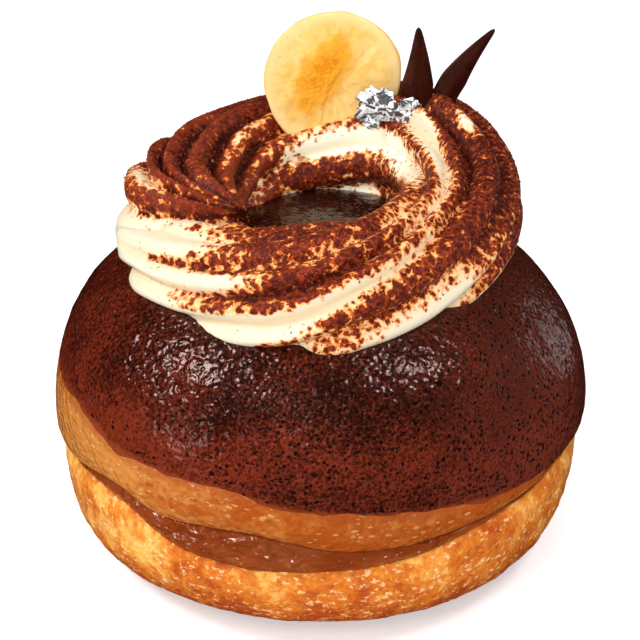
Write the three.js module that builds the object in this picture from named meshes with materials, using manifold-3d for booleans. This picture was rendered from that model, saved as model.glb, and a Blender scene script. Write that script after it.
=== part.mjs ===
// Filled doughnut: a bun cut in two over a caramel filling, a piped ring of cream on its dome,
// a banana slice, two chocolate shards and two pinches of silver leaf.
// Millimetres, +Z up, front at -Y. The origin is the middle of the flat spot it rests on.
// Ring angles run counter-clockwise from +X as seen from above; the rope's tail passes 360.
import * as THREE from "three";
import { mergeVertices } from "three/addons/utils/BufferGeometryUtils.js";
import Module from "manifold-3d";

// Bun: widest at the waist, a flat spot below, a dome above
const WAIST_RADIUS = 50.6;
const CRUST_RADIUS = 49.5;
const WAIST_HEIGHT = 30;
const LOWER_DEPTH = 31.5;
const LOWER_POWER = 3.91;
const DOME_HEIGHT = 36.1;
const DOME_POWER = 2.39;
const LUMP = 0.35;
const LUMP_FADE_BELOW = 8;
const LUMP_FADE_ABOVE = 12;

// Cut through the bun: rim heights of both cut faces, and how they dip at the front
const CRUST_RIM = 26;
const CRUST_DIP = { depth: 7.6, at: -3, width: 46, power: 3 };
const TOP_RIM = 27.6;
const TOP_DIP = { depth: 6.4, at: 21, width: 19, power: 2 };
const CRUST_CENTRE = 22.5;
const TOP_CENTRE = 25.5;
const CRUST_LIP = 1.2;
const TOP_LIP = 1.9;
const LIP_HEIGHT = 4;
const FACE_POWER = 1.6;
const FILLING_INSET = 1.4;
const FILLING_BULGE = 0.5;
const SMEAR = { depth: 1.5, at: -17, width: 27, power: 2 };
const GAP = 0.3;
const CUTTER_RADIUS = 46;
const CUTTER_FOOT = 40;

// Rope of cream: ring angle, radius and height of its middle, half width, rise above the middle
const ROPE_STATIONS = [
  [164, 26, 64, 12, 5.5],
  [186, 26, 64, 12.2, 6],
  [208, 25.9, 63, 12.3, 7.5],
  [235, 26, 61, 12.4, 11],
  [270, 27.2, 62, 13.3, 13.3],
  [315, 25.2, 65.6, 12, 10.9],
  [360, 26.1, 68, 11.8, 11.5],
  [405, 27.7, 69.6, 11.8, 14.6],
  [450, 26.9, 67.7, 12.2, 14.6],
  [495, 26, 66.3, 12.3, 13],
  [540, 26.2, 65.8, 12.4, 12],
  [572, 26, 66, 12, 12],
];
const ROPE_BELOW = 12;
const RING_CENTRE = [0.3, 0.5];
const SECTION_POWER = 2.3;
const BULB_SPAN = 24;
const TAIL_SPAN = 32;
const TAIL_TIP = { radius: 16, height: 70.5 };
const STRETCH_OVERLAP = 1;

// Star nozzle: ten grooves, the turn of groove 0 along the rope, and where grooves crowd together
const GROOVES = 10;
const GROOVE_DEPTH = 2.1;
const TURN = [
  [164, -100],
  [186, -58],
  [206, -33],
  [234, -8],
  [260, 9],
  [279, 30],
  [298, 49],
  [313, 64],
  [337, 78],
  [365, 92],
  [385, 101],
  [450, 102],
  [493, 106],
  [514, 118],
  [540, 125],
  [572, 135],
];
const CROWD_OUTSIDE = [
  [164, -15],
  [234, -20],
  [280, -31],
  [320, -33],
  [356, -28],
  [400, -18],
  [572, -10],
];
const CROWD_INSIDE = [
  [164, 0],
  [485, 0],
  [515, 25],
  [540, 42],
  [572, 45],
];
const CROWD_TOP = [
  [164, 0],
  [275, 0],
  [305, -18],
  [325, -18],
  [340, -9],
  [370, -9],
  [420, 0],
  [572, 0],
];
const CROWDS = [
  { at: 2.2, power: 3, keys: CROWD_OUTSIDE },
  { at: -3.4, power: 4, keys: CROWD_INSIDE },
  { at: -1.6, power: 6, keys: CROWD_TOP },
];
const DEEP_GROOVE = { groove: 0, at: 372, width: 26, depth: 1.8 };

// Toppings
const BANANA_SWELL = { three: 0.012, five: 0.006 };
const BANANA_RADIUS = 12.9;
const BANANA_THICKNESS = 5;
const BANANA_EDGE = 0.9;
const BANANA_AT = [2.7, 22.3, 86.1];
const BANANA_TURN = 13;
const BANANA_LEAN = 5;
const SHARD_TAPER = { from: 0.44, to: 1.06, power: 0.85 };
const SHARDS = {
  chocolate_shard_1: {
    foot: [19.2, 19, 77],
    tip: [18.8, 19.6, 97],
    width: 6.2,
    thickness: 2.6,
    bow: 0.5,
  },
  chocolate_shard_2: {
    foot: [25.9, 19.8, 77.5],
    tip: [33.3, 20.4, 96.4],
    width: 5,
    thickness: 2.2,
    bow: -1.1,
  },
};
const LEAF_CRUMPLE = 0.38;
const LEAVES = {
  silver_leaf_1: { at: [11.7, 15.1, 82.8], size: [3.3, 2.1, 3.5], seed: 3 },
  silver_leaf_2: { at: [17.3, 15.2, 81.3], size: [2.0, 1.5, 2.2], seed: 11 },
};

// Mesh fineness
const SECTORS = 42;
const DOME_ROWS = 12;
const CRUST_ROW_POWER = 1.7;
const TOP_ROW_POWER = 1.15;
const ROPE_STEPS = 72;
const ROPE_SIDES = 40;
const BANANA_SECTORS = 30;
const SHARD_STEPS = 9;
const SHARD_SIDES = 6;

const COLOURS = {
  bun_base: [0xd9822f, 0.55],
  caramel_filling: [0xa8602f, 0.25],
  bun_top: [0x5a2415, 0.4],
  cream_ring: [0xf8e6c2, 0.55],
  banana_slice: [0xf6cf6a, 0.35],
  chocolate_shard_1: [0x3c160c, 0.35],
  chocolate_shard_2: [0x3c160c, 0.35],
  silver_leaf_1: [0xd8dade, 0.2],
  silver_leaf_2: [0xd8dade, 0.2],
};

const rad = THREE.MathUtils.degToRad;
const wasm = await Module();
wasm.setup();

// A smooth curve through [angle, value] pairs
function curveThrough(pairs) {
  const angles = pairs.map((pair) => pair[0]);
  const values = pairs.map((pair) => pair[1]);
  const curve = new THREE.CubicInterpolant(angles, values, 1);
  return (angle) => curve.evaluate(THREE.MathUtils.clamp(angle, angles[0], angles.at(-1)))[0];
}

// Degrees round from the front, + to the right, of a point at x, y
function fromFront(x, y) {
  return THREE.MathUtils.radToDeg(Math.atan2(x, -y));
}

function dipAt(dip, angle) {
  return dip.depth * Math.exp(-(Math.abs((angle - dip.at) / dip.width) ** dip.power));
}

function crustRimAt(angle) {
  return CRUST_RIM - dipAt(CRUST_DIP, angle);
}

function topRimAt(angle) {
  return TOP_RIM - dipAt(TOP_DIP, angle);
}

// Radius of the bun's side at a height, before its lumps
function sideRadius(height) {
  if (height < WAIST_HEIGHT) {
    const down = Math.min(1, (WAIST_HEIGHT - height) / LOWER_DEPTH);
    return CRUST_RADIUS * (1 - down ** LOWER_POWER) ** (1 / LOWER_POWER);
  }
  const up = Math.min(1, (height - WAIST_HEIGHT) / DOME_HEIGHT);
  return WAIST_RADIUS * (1 - up ** DOME_POWER) ** (1 / DOME_POWER);
}

function domeHeight(radius) {
  const out = Math.min(1, radius / WAIST_RADIUS);
  return WAIST_HEIGHT + DOME_HEIGHT * (1 - out ** DOME_POWER) ** (1 / DOME_POWER);
}

// How far the bun's side stands out of round, fading to nothing at the flat spot and at the top
function lump(angle, height) {
  const turn = rad(angle);
  const wave = Math.sin(3 * turn + 0.11 * height) + 0.6 * Math.sin(5 * turn - 0.17 * height + 1);
  const fade = Math.min(1, height / LUMP_FADE_BELOW, (domeHeight(0) - height) / LUMP_FADE_ABOVE);
  return LUMP * wave * fade;
}

// Turns a lathed blank into a layer: place(row, angle) gives the radius and height of each point
function layer(rows, place) {
  const profile = rows.map((row, index) => new THREE.Vector2(row.onAxis ? 0 : 1, index));
  const blank = new THREE.LatheGeometry(profile, SECTORS);
  const points = blank.getAttribute("position");
  for (let i = 0; i < points.count; i++) {
    const row = rows[Math.round(points.getY(i))];
    const x = points.getX(i);
    const y = -points.getZ(i);
    const spot = place(row, fromFront(x, y));
    points.setXYZ(i, x * spot.radius, y * spot.radius, spot.height);
  }
  return solidFrom(blank);
}

// Rows from the axis out over the lower face, up the side and back to the axis
function layerRows(faceSteps, sideSteps) {
  const rows = [];
  for (let i = 0; i <= faceSteps; i++) {
    rows.push({ part: "under", share: i / faceSteps, onAxis: i === 0 });
  }
  for (let i = 1; i < sideSteps; i++) {
    rows.push({ part: "side", share: i / sideSteps });
  }
  for (let i = faceSteps; i >= 0; i--) {
    rows.push({ part: "over", share: i / faceSteps, onAxis: i === 0 });
  }
  return rows;
}

// Height of a cut face between its centre and its rim
function faceHeight(centre, rim, share) {
  return THREE.MathUtils.lerp(centre, rim, share ** FACE_POWER);
}

// How far a rounded lip is drawn in at a distance from the cut face
function lipInset(depth, fromRim) {
  return depth * Math.max(0, 1 - fromRim / LIP_HEIGHT) ** 2;
}

function bunBase() {
  const flatRadius = sideRadius(0);
  return layer(layerRows(3, 8), (row, angle) => {
    const rim = crustRimAt(angle);
    if (row.part === "under") return { radius: flatRadius * row.share, height: 0 };
    if (row.part === "over") {
      const shoulder = sideRadius(rim) + lump(angle, rim) - CRUST_LIP;
      return { radius: shoulder * row.share, height: faceHeight(CRUST_CENTRE, rim, row.share) };
    }
    const crowded = 1 - (1 - row.share) ** CRUST_ROW_POWER;
    const height = rim * crowded;
    const lip = lipInset(CRUST_LIP, rim - height);
    return { radius: sideRadius(height) + lump(angle, height) - lip, height };
  });
}

function caramelFilling() {
  return layer(layerRows(4, 3), (row, angle) => {
    const low = crustRimAt(angle) + GAP;
    const high = topRimAt(angle) - GAP;
    const edge = sideRadius(low) + lump(angle, low) - FILLING_INSET + dipAt(SMEAR, angle);
    if (row.part === "under") {
      return { radius: edge * row.share, height: faceHeight(CRUST_CENTRE + GAP, low, row.share) };
    }
    if (row.part === "over") {
      return { radius: edge * row.share, height: faceHeight(TOP_CENTRE - GAP, high, row.share) };
    }
    const bulge = FILLING_BULGE * Math.sin(Math.PI * row.share);
    return { radius: edge + bulge, height: THREE.MathUtils.lerp(low, high, row.share) };
  });
}

function bunTop() {
  const rows = layerRows(4, 13).filter((row) => row.part !== "over" || row.onAxis);
  return layer(rows, (row, angle) => {
    const rim = topRimAt(angle);
    if (row.part === "under") {
      const shoulder = WAIST_RADIUS + lump(angle, rim) - TOP_LIP;
      return { radius: shoulder * row.share, height: faceHeight(TOP_CENTRE, rim, row.share) };
    }
    if (row.part === "over") return { radius: 0, height: domeHeight(0) };
    const crowded = 1 - (1 - row.share) ** TOP_ROW_POWER;
    const height = rim + (domeHeight(0) - rim) * Math.sin(crowded * Math.PI * 0.5);
    const lip = lipInset(TOP_LIP, height - rim);
    const side = height < WAIST_HEIGHT ? WAIST_RADIUS : sideRadius(height);
    return { radius: side + lump(angle, height) - lip, height };
  });
}

const ropeRadius = curveThrough(ROPE_STATIONS.map((row) => [row[0], row[1]]));
const ropeHeight = curveThrough(ROPE_STATIONS.map((row) => [row[0], row[2]]));
const ropeHalfWidth = curveThrough(ROPE_STATIONS.map((row) => [row[0], row[3]]));
const ropeRise = curveThrough(ROPE_STATIONS.map((row) => [row[0], row[4]]));
const ropeTurn = curveThrough(TURN);
const crowdCurves = CROWDS.map((crowd) => curveThrough(crowd.keys));
const ROPE_START = ROPE_STATIONS[0][0];
const ROPE_END = ROPE_STATIONS.at(-1)[0];

// Angle round the rope's section of a groove, or of a place between two grooves
function sectionAngle(ringAngle, groove) {
  let angle = ropeTurn(ringAngle) + (360 / GROOVES) * groove;
  CROWDS.forEach((crowd, index) => {
    const near = 0.5 + 0.5 * Math.cos((2 * Math.PI * (groove - crowd.at)) / GROOVES);
    angle += crowdCurves[index](ringAngle) * near ** crowd.power;
  });
  return rad(angle);
}

// A point of the rope's skin
function ropePoint(ringAngle, groove) {
  const fromStart = Math.min(1, (ringAngle - ROPE_START) / BULB_SPAN);
  const fromEnd = Math.min(1, (ROPE_END - ringAngle) / TAIL_SPAN);
  const taper = Math.sqrt(1 - (1 - fromEnd) ** 2);
  const size = Math.sqrt(1 - (1 - fromStart) ** 2) * taper;
  const radius = THREE.MathUtils.lerp(TAIL_TIP.radius, ropeRadius(ringAngle), taper);
  const height = THREE.MathUtils.lerp(TAIL_TIP.height, ropeHeight(ringAngle), taper);
  const angle = sectionAngle(ringAngle, groove);
  const across = Math.cos(angle);
  const up = Math.sin(angle);
  const spread = Math.abs(across) ** SECTION_POWER + Math.abs(up) ** SECTION_POWER;
  const square = spread ** (-1 / SECTION_POWER);
  const inGroove = 1 - Math.abs(Math.sin(Math.PI * groove));
  const nearDeep = Math.exp(-(((ringAngle - DEEP_GROOVE.at) / DEEP_GROOVE.width) ** 2));
  const isDeep = Math.abs(groove - DEEP_GROOVE.groove) < 0.5 ? 1 : 0;
  const cut = inGroove * (GROOVE_DEPTH + isDeep * nearDeep * DEEP_GROOVE.depth);
  const halfWidth = ropeHalfWidth(ringAngle);
  const reach = size * square * (1 - cut / halfWidth);
  const outward = radius + reach * halfWidth * across;
  const rise = up > 0 ? ropeRise(ringAngle) : ROPE_BELOW;
  const turn = rad(ringAngle);
  const x = RING_CENTRE[0] + outward * Math.cos(turn);
  const y = RING_CENTRE[1] + outward * Math.sin(turn);
  return new THREE.Vector3(x, y, height + reach * rise * up);
}

// A stretch of rope made from a sphere: its poles close the ends, its meridians follow the grooves
function ropeStretch(from, to, steps) {
  const blank = new THREE.SphereGeometry(1, ROPE_SIDES, steps);
  const points = blank.getAttribute("position");
  const uv = blank.getAttribute("uv");
  for (let i = 0; i < points.count; i++) {
    const row = Math.round((1 - uv.getY(i)) * steps);
    const side = Math.round(uv.getX(i) * ROPE_SIDES) % ROPE_SIDES;
    const isPole = row === 0 || row === steps;
    const inner = THREE.MathUtils.clamp((row - 1) / (steps - 2), 0, 1);
    const ringAngle = THREE.MathUtils.lerp(from, to, inner);
    const groove = GROOVES * (side / ROPE_SIDES) - GROOVES / 2;
    const point = isPole ? ropeMiddle(ringAngle) : ropePoint(ringAngle, groove);
    points.setXYZ(i, point.x, point.y, point.z);
  }
  return solidFrom(blank);
}

// Middle of the rope's section, between two opposite grooves
function ropeMiddle(ringAngle) {
  const left = ropePoint(ringAngle, 0);
  const right = ropePoint(ringAngle, GROOVES / 2);
  return left.lerp(right, 0.5);
}

// The two stretches overlap under the tail; everything that touches the cream is cut out of it
function creamRing(cutters) {
  const half = Math.round(ROPE_STEPS / 2);
  const middle = (ROPE_START + ROPE_END) / 2;
  const front = ropeStretch(ROPE_START, middle + STRETCH_OVERLAP, half);
  const back = ropeStretch(middle - STRETCH_OVERLAP, ROPE_END, half);
  return cutters.reduce((cream, cutter) => cream.subtract(cutter), front.add(back));
}

// The dome and the air under it, to cut the cream to the bun
function domeCutter() {
  const rows = [{ share: 0, isFoot: true, onAxis: true }];
  for (let i = DOME_ROWS; i >= 0; i--) {
    rows.push({ share: i / DOME_ROWS, onAxis: i === 0 });
  }
  return layer(rows, (row, angle) => {
    if (row.isFoot) return { radius: 0, height: CUTTER_FOOT };
    const radius = CUTTER_RADIUS * row.share;
    const height = domeHeight(radius) + GAP;
    return { radius: radius + lump(angle, height), height };
  });
}

function bananaSlice(extra) {
  const half = BANANA_THICKNESS / 2 + extra;
  const radius = BANANA_RADIUS + extra;
  const profile = [
    new THREE.Vector2(0, -half),
    new THREE.Vector2(radius * 0.72, -half * 0.97),
    new THREE.Vector2(radius - BANANA_EDGE, -half * 0.9),
    new THREE.Vector2(radius - BANANA_EDGE * 0.1, -half + BANANA_EDGE),
    new THREE.Vector2(radius, half - BANANA_EDGE),
    new THREE.Vector2(radius - BANANA_EDGE, half * 0.9),
    new THREE.Vector2(radius * 0.72, half * 0.97),
    new THREE.Vector2(0, half),
  ];
  const slice = new THREE.LatheGeometry(profile, BANANA_SECTORS);
  const points = slice.getAttribute("position");
  for (let i = 0; i < points.count; i++) {
    const around = Math.atan2(points.getZ(i), points.getX(i));
    const three = BANANA_SWELL.three * Math.sin(3 * around + 0.6);
    const swell = 1 + three + BANANA_SWELL.five * Math.sin(5 * around);
    points.setXYZ(i, points.getX(i) * swell, points.getY(i), points.getZ(i) * swell);
  }
  slice.rotateX(rad(-BANANA_LEAN));
  slice.rotateZ(rad(BANANA_TURN));
  slice.translate(...BANANA_AT);
  return solidFrom(slice);
}

// A pointed blade from foot to tip, a ridge down its face
function shard({ foot, tip, width, thickness, bow }, extra) {
  const start = new THREE.Vector3(...foot);
  const axis = new THREE.Vector3(...tip).sub(start);
  const stretch = extra / axis.length();
  const through = new THREE.Vector3(0, 1, 0);
  const across = through.clone().cross(axis).normalize();
  const blade = new THREE.SphereGeometry(1, SHARD_SIDES, SHARD_STEPS);
  const points = blade.getAttribute("position");
  const uv = blade.getAttribute("uv");
  for (let i = 0; i < points.count; i++) {
    const share = Math.round(uv.getY(i) * SHARD_STEPS) / SHARD_STEPS;
    const around = (2 * Math.PI * (Math.round(uv.getX(i) * SHARD_SIDES) % SHARD_SIDES)) / SHARD_SIDES;
    const isPole = share === 0 || share === 1;
    const { from, to, power } = SHARD_TAPER;
    const taper = Math.min(1, (to - share) / (to - from)) ** power;
    const cos = Math.cos(around);
    const sin = Math.sin(around);
    const side = isPole ? 0 : (cos * width * taper) / 2 + Math.sign(cos) * extra;
    const deep = isPole ? 0 : (sin * thickness * taper) / 2 + Math.sign(sin) * extra;
    const bend = bow * Math.sin(Math.PI * share);
    const point = start.clone();
    point.addScaledVector(axis, share * (1 + 2 * stretch) - stretch);
    point.addScaledVector(across, side + bend);
    point.addScaledVector(through, deep);
    points.setXYZ(i, point.x, point.y, point.z);
  }
  return solidFrom(blade);
}

// A crumpled pinch of leaf: a ball of facets pushed in and out
function leaf({ at, size, seed }, extra) {
  const ball = new THREE.IcosahedronGeometry(1, 1);
  const points = ball.getAttribute("position");
  for (let i = 0; i < points.count; i++) {
    const point = new THREE.Vector3().fromBufferAttribute(points, i);
    const waves = [
      Math.sin(5.1 * point.x + seed),
      Math.sin(4.3 * point.y + 2 * seed),
      Math.sin(4.7 * point.z - seed),
    ];
    point.multiplyScalar(1 + LEAF_CRUMPLE * waves[0] * waves[1] * waves[2]);
    const x = at[0] + point.x * (size[0] + extra);
    const y = at[1] + point.y * (size[1] + extra);
    const z = at[2] + point.z * (size[2] + extra);
    points.setXYZ(i, x, y, z);
  }
  return solidFrom(ball);
}

// A closed solid from a geometry whose seams only touch
function solidFrom(geometry) {
  geometry.deleteAttribute("normal");
  geometry.deleteAttribute("uv");
  const merged = mergeVertices(geometry, 1e-3);
  const corners = merged.index.array;
  const triVerts = [];
  for (let i = 0; i < corners.length; i += 3) {
    const [a, b, c] = [corners[i], corners[i + 1], corners[i + 2]];
    if (a !== b && b !== c && c !== a) triVerts.push(a, b, c);
  }
  const make = (order) =>
    new wasm.Manifold(
      new wasm.Mesh({
        numProp: 3,
        vertProperties: Float32Array.from(merged.getAttribute("position").array),
        triVerts: Uint32Array.from(order),
      }),
    );
  const made = make(triVerts);
  return made.volume() > 0 ? made : make(triVerts.reverse());
}

function meshOf(name, solid) {
  const { vertProperties, triVerts } = solid.getMesh();
  const geometry = new THREE.BufferGeometry();
  geometry.setAttribute("position", new THREE.BufferAttribute(vertProperties, 3));
  geometry.setIndex(new THREE.BufferAttribute(triVerts, 1));
  geometry.computeVertexNormals();
  const [color, roughness] = COLOURS[name];
  const metalness = name.startsWith("silver") ? 1 : 0;
  const material = new THREE.MeshStandardMaterial({ color, roughness, metalness });
  const mesh = new THREE.Mesh(geometry, material);
  mesh.name = name;
  return mesh;
}

const doughnut = new THREE.Group();
doughnut.add(meshOf("bun_base", bunBase()));
doughnut.add(meshOf("caramel_filling", caramelFilling()));
doughnut.add(meshOf("bun_top", bunTop()));

const cutters = [domeCutter(), bananaSlice(GAP)];
for (const size of Object.values(SHARDS)) cutters.push(shard(size, GAP));
for (const size of Object.values(LEAVES)) cutters.push(leaf(size, GAP));
doughnut.add(meshOf("cream_ring", creamRing(cutters)));
doughnut.add(meshOf("banana_slice", bananaSlice(0)));
for (const [name, size] of Object.entries(SHARDS)) doughnut.add(meshOf(name, shard(size, 0)));
for (const [name, size] of Object.entries(LEAVES)) doughnut.add(meshOf(name, leaf(size, 0)));

export default doughnut;
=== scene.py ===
import math
import bmesh
import bpy
import numpy as np
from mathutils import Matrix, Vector, noise


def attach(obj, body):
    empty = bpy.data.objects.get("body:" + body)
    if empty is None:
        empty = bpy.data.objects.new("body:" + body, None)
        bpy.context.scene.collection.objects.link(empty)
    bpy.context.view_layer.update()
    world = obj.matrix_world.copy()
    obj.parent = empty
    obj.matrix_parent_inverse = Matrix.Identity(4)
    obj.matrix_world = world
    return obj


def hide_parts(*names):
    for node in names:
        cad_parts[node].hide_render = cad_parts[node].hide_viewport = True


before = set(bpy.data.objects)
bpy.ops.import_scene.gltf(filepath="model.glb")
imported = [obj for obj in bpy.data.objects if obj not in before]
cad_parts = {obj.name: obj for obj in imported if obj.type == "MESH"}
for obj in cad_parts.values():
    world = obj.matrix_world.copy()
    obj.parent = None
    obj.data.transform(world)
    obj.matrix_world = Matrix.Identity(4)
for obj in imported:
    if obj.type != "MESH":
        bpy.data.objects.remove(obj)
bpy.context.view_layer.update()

mm = 0.001


def pickSocket(sockets, key):
    if isinstance(key, int):
        return sockets[key]
    shown = [s for s in sockets if s.name == key and s.enabled]
    return shown[0] if shown else sockets[key]


# a node with its inputs set, or linked where the value is another node's output
def addNode(tree, kind, values=None, **settings):
    node = tree.nodes.new(kind)
    for name, value in settings.items():
        setattr(node, name, value)
    for key, value in (values or {}).items():
        socket = pickSocket(node.inputs, key)
        if isinstance(value, bpy.types.NodeSocket):
            tree.links.new(value, socket)
        else:
            socket.default_value = value
    return node


def sums(tree, operation, *values):
    return addNode(tree, "ShaderNodeMath", dict(enumerate(values)), operation=operation).outputs[0]


def plus(tree, first, second):
    return sums(tree, "ADD", first, second)


def minus(tree, first, second):
    return sums(tree, "SUBTRACT", first, second)


def times(tree, first, *others):
    for other in others:
        first = sums(tree, "MULTIPLY", first, other)
    return first


# values added up, each times its own weight
def weighted(tree, first, *others):
    total = times(tree, *first)
    for part in others:
        total = plus(tree, total, times(tree, *part))
    return total


# how far a share stands from its middle, times a size
def offCentre(tree, share, size):
    return times(tree, minus(tree, share, 0.5), size)


def vectors(tree, operation, *values):
    node = addNode(tree, "ShaderNodeVectorMath", dict(enumerate(values)), operation=operation)
    return node.outputs["Value"] if operation in ("LENGTH", "DOT_PRODUCT", "DISTANCE") else node.outputs[0]


def scaled(tree, vector, factor):
    return addNode(tree, "ShaderNodeVectorMath", {0: vector, "Scale": factor}, operation="SCALE").outputs[0]


def stretched(tree, vector, factors):
    return addNode(tree, "ShaderNodeMapping", {"Vector": vector, "Scale": factors}).outputs[0]


def axesOf(tree, vector):
    return addNode(tree, "ShaderNodeSeparateXYZ", {"Vector": vector}).outputs


def ramp(tree, value, low, high, outLow=0.0, outHigh=1.0):
    limits = {"Value": value, "From Min": low, "From Max": high, "To Min": outLow, "To Max": outHigh}
    return addNode(tree, "ShaderNodeMapRange", limits, interpolation_type="SMOOTHSTEP").outputs[0]


# output 0 is the noise as a value, output 1 as a colour
def noiseAt(tree, vector, size, detail=3.0, roughness=0.5, output=0):
    values = {"Vector": vector, "Scale": 1 / size, "Detail": detail, "Roughness": roughness}
    return addNode(tree, "ShaderNodeTexNoise", values).outputs[output]


# the first colour, with others laid over it by their shares
def painted(tree, colour, *layers):
    for share, over in layers:
        node = addNode(tree, "ShaderNodeMix", data_type="RGBA")
        for index, value in ((0, share), (6, colour), (7, over)):
            if isinstance(value, bpy.types.NodeSocket):
                tree.links.new(value, node.inputs[index])
            else:
                node.inputs[index].default_value = value
        colour = node.outputs[2]
    return colour


def srgb(red, green, blue):
    def linear(value):
        value /= 255
        return value / 12.92 if value <= 0.04045 else ((value + 0.055) / 1.055) ** 2.4
    return (linear(red), linear(green), linear(blue), 1.0)


def newMaterial(name, sockets):
    material = bpy.data.materials.new(name)
    material.use_nodes = True
    shader = material.node_tree.nodes["Principled BSDF"]
    for socket, value in sockets.items():
        shader.inputs[socket].default_value = value
    return material, material.node_tree, shader


def objectCoords(tree):
    return addNode(tree, "ShaderNodeTexCoord").outputs["Object"]


def attributeValue(tree, name, output="Fac"):
    return addNode(tree, "ShaderNodeAttribute", attribute_name=name).outputs[output]


# colour, bump and, where it varies, roughness go into the shader
def dress(tree, shader, colour, height, distance, rough=None):
    tree.links.new(colour, shader.inputs["Base Color"])
    if rough is not None:
        tree.links.new(rough, shader.inputs["Roughness"])
    bump = addNode(tree, "ShaderNodeBump", {"Height": height, "Distance": distance})
    tree.links.new(bump.outputs[0], shader.inputs["Normal"])


def newGroup(name, kind, inputs, outputs):
    tree = bpy.data.node_groups.new(name, kind)
    for label, form, value in inputs:
        socket = tree.interface.new_socket(label, in_out="INPUT", socket_type="NodeSocket" + form)
        if value is not None:
            socket.default_value = value
    for label, form in outputs:
        tree.interface.new_socket(label, in_out="OUTPUT", socket_type="NodeSocket" + form)
    return tree, tree.nodes.new("NodeGroupInput").outputs, tree.nodes.new("NodeGroupOutput").inputs


def newTree(name, inputs):
    inputs = [("Geometry", "Geometry", None), *inputs, ("Material", "Material", None)]
    return newGroup(name, "GeometryNodeTree", inputs, [("Geometry", "Geometry")])


def closeTree(tree, geometry, material, ends):
    real = addNode(tree, "GeometryNodeRealizeInstances", {"Geometry": geometry}).outputs[0]
    done = addNode(tree, "GeometryNodeSetMaterial", {"Geometry": real, "Material": material}).outputs[0]
    tree.links.new(done, ends["Geometry"])
    return tree


# a value that the mesh carries, read inside a Geometry Nodes tree
def carried(tree, name, kind="FLOAT"):
    return addNode(tree, "GeometryNodeInputNamedAttribute", {"Name": name}, data_type=kind).outputs[0]


def pushOut(tree, geometry, distance):
    normal = tree.nodes.new("GeometryNodeInputNormal").outputs[0]
    offset = scaled(tree, normal, distance)
    return addNode(tree, "GeometryNodeSetPosition", {"Geometry": geometry, "Offset": offset}).outputs[0]


# runs a Geometry Nodes tree on a piece and leaves a plain mesh
def runTree(piece, tree, values):
    modifier = piece.modifiers.new(tree.name, "NODES")
    modifier.node_group = tree
    for item in tree.interface.items_tree:
        if item.item_type == "SOCKET" and item.in_out == "INPUT" and item.name in values:
            modifier[item.identifier] = values[item.name]
    settled = piece.evaluated_get(bpy.context.evaluated_depsgraph_get())
    plain = bpy.data.meshes.new_from_object(settled)
    piece.modifiers.remove(modifier)
    old = piece.data
    piece.data = plain
    plain.name = piece.name
    bpy.data.meshes.remove(old)


def addPiece(name, points, faces, material=None):
    mesh = bpy.data.meshes.new(name)
    mesh.from_pydata(np.asarray(points, float).tolist(), [], faces)
    mesh.update()
    mesh.shade_smooth()
    if material:
        mesh.materials.append(material)
    piece = bpy.data.objects.new(name, mesh)
    bpy.context.scene.collection.objects.link(piece)
    return piece


# faces of a tube closed by a fan at each end; spot(i, k) is the place of point k on line i
def closedFaces(lines, rows, spot):
    foot, top = lines * rows, lines * rows + 1
    faces = []
    for i in range(lines):
        j = (i + 1) % lines
        faces.append((foot, spot(j, 0), spot(i, 0)))
        faces.append((top, spot(i, rows - 1), spot(j, rows - 1)))
        for k in range(rows - 1):
            faces.append((spot(i, k), spot(j, k), spot(j, k + 1), spot(i, k + 1)))
    return faces


def setAttribute(piece, name, values, kind="FLOAT", domain="POINT"):
    attribute = piece.data.attributes.new(name, kind, domain)
    key = "value" if kind == "FLOAT" else "vector"
    attribute.data.foreach_set(key, np.asarray(values, np.float32).ravel())


def getAttribute(piece, name):
    values = np.zeros(len(piece.data.vertices), np.float32)
    piece.data.attributes[name].data.foreach_get("value", values)
    return values


# each point's place in millimetres, and its angle round the bun from the front
def placesOf(piece):
    places = np.array([v.co for v in piece.data.vertices]) / mm
    return places, np.arctan2(places[:, 0], -places[:, 1])


def smoothStep(values, low, high):
    share = np.clip((values - low) / (high - low), 0, 1)
    return share * share * (3 - 2 * share)


# uneven waves round a ring, as (lobes, height), shifted by a fixed seed
def waver(angles, seed, waves):
    dice = np.random.default_rng(seed)
    total = np.zeros_like(angles)
    for lobes, height in waves:
        total += height * np.sin(lobes * angles + dice.uniform(0, 2 * math.pi))
    return total


# a smooth curve through (place, value) keys
def cubicKeys(keys, at):
    xs = np.array([k[0] for k in keys], float)
    ys = np.array([k[1] for k in keys], float)
    at = np.clip(np.asarray(at, float), xs[0], xs[-1])
    i = np.clip(np.searchsorted(xs, at, side="right") - 1, 0, len(xs) - 2)
    before = np.clip(i - 1, 0, len(xs) - 1)
    after = np.clip(i + 2, 0, len(xs) - 1)
    span = xs[i + 1] - xs[i]
    share = (at - xs[i]) / span
    atEnd = 0.5 * (ys[i + 1] - ys[i]) / span
    slopeIn = np.where(i > 0, (ys[i + 1] - ys[before]) / (xs[i + 1] - xs[before]), atEnd)
    slopeOut = np.where(i < len(xs) - 2, (ys[after] - ys[i]) / (xs[after] - xs[i]), atEnd)
    s2, s3 = share ** 2, share ** 3
    return ((2 * s3 - 3 * s2 + 1) * ys[i] + (s3 - 2 * s2 + share) * span * slopeIn
            + (-2 * s3 + 3 * s2) * ys[i + 1] + (s3 - s2) * span * slopeOut)


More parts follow.
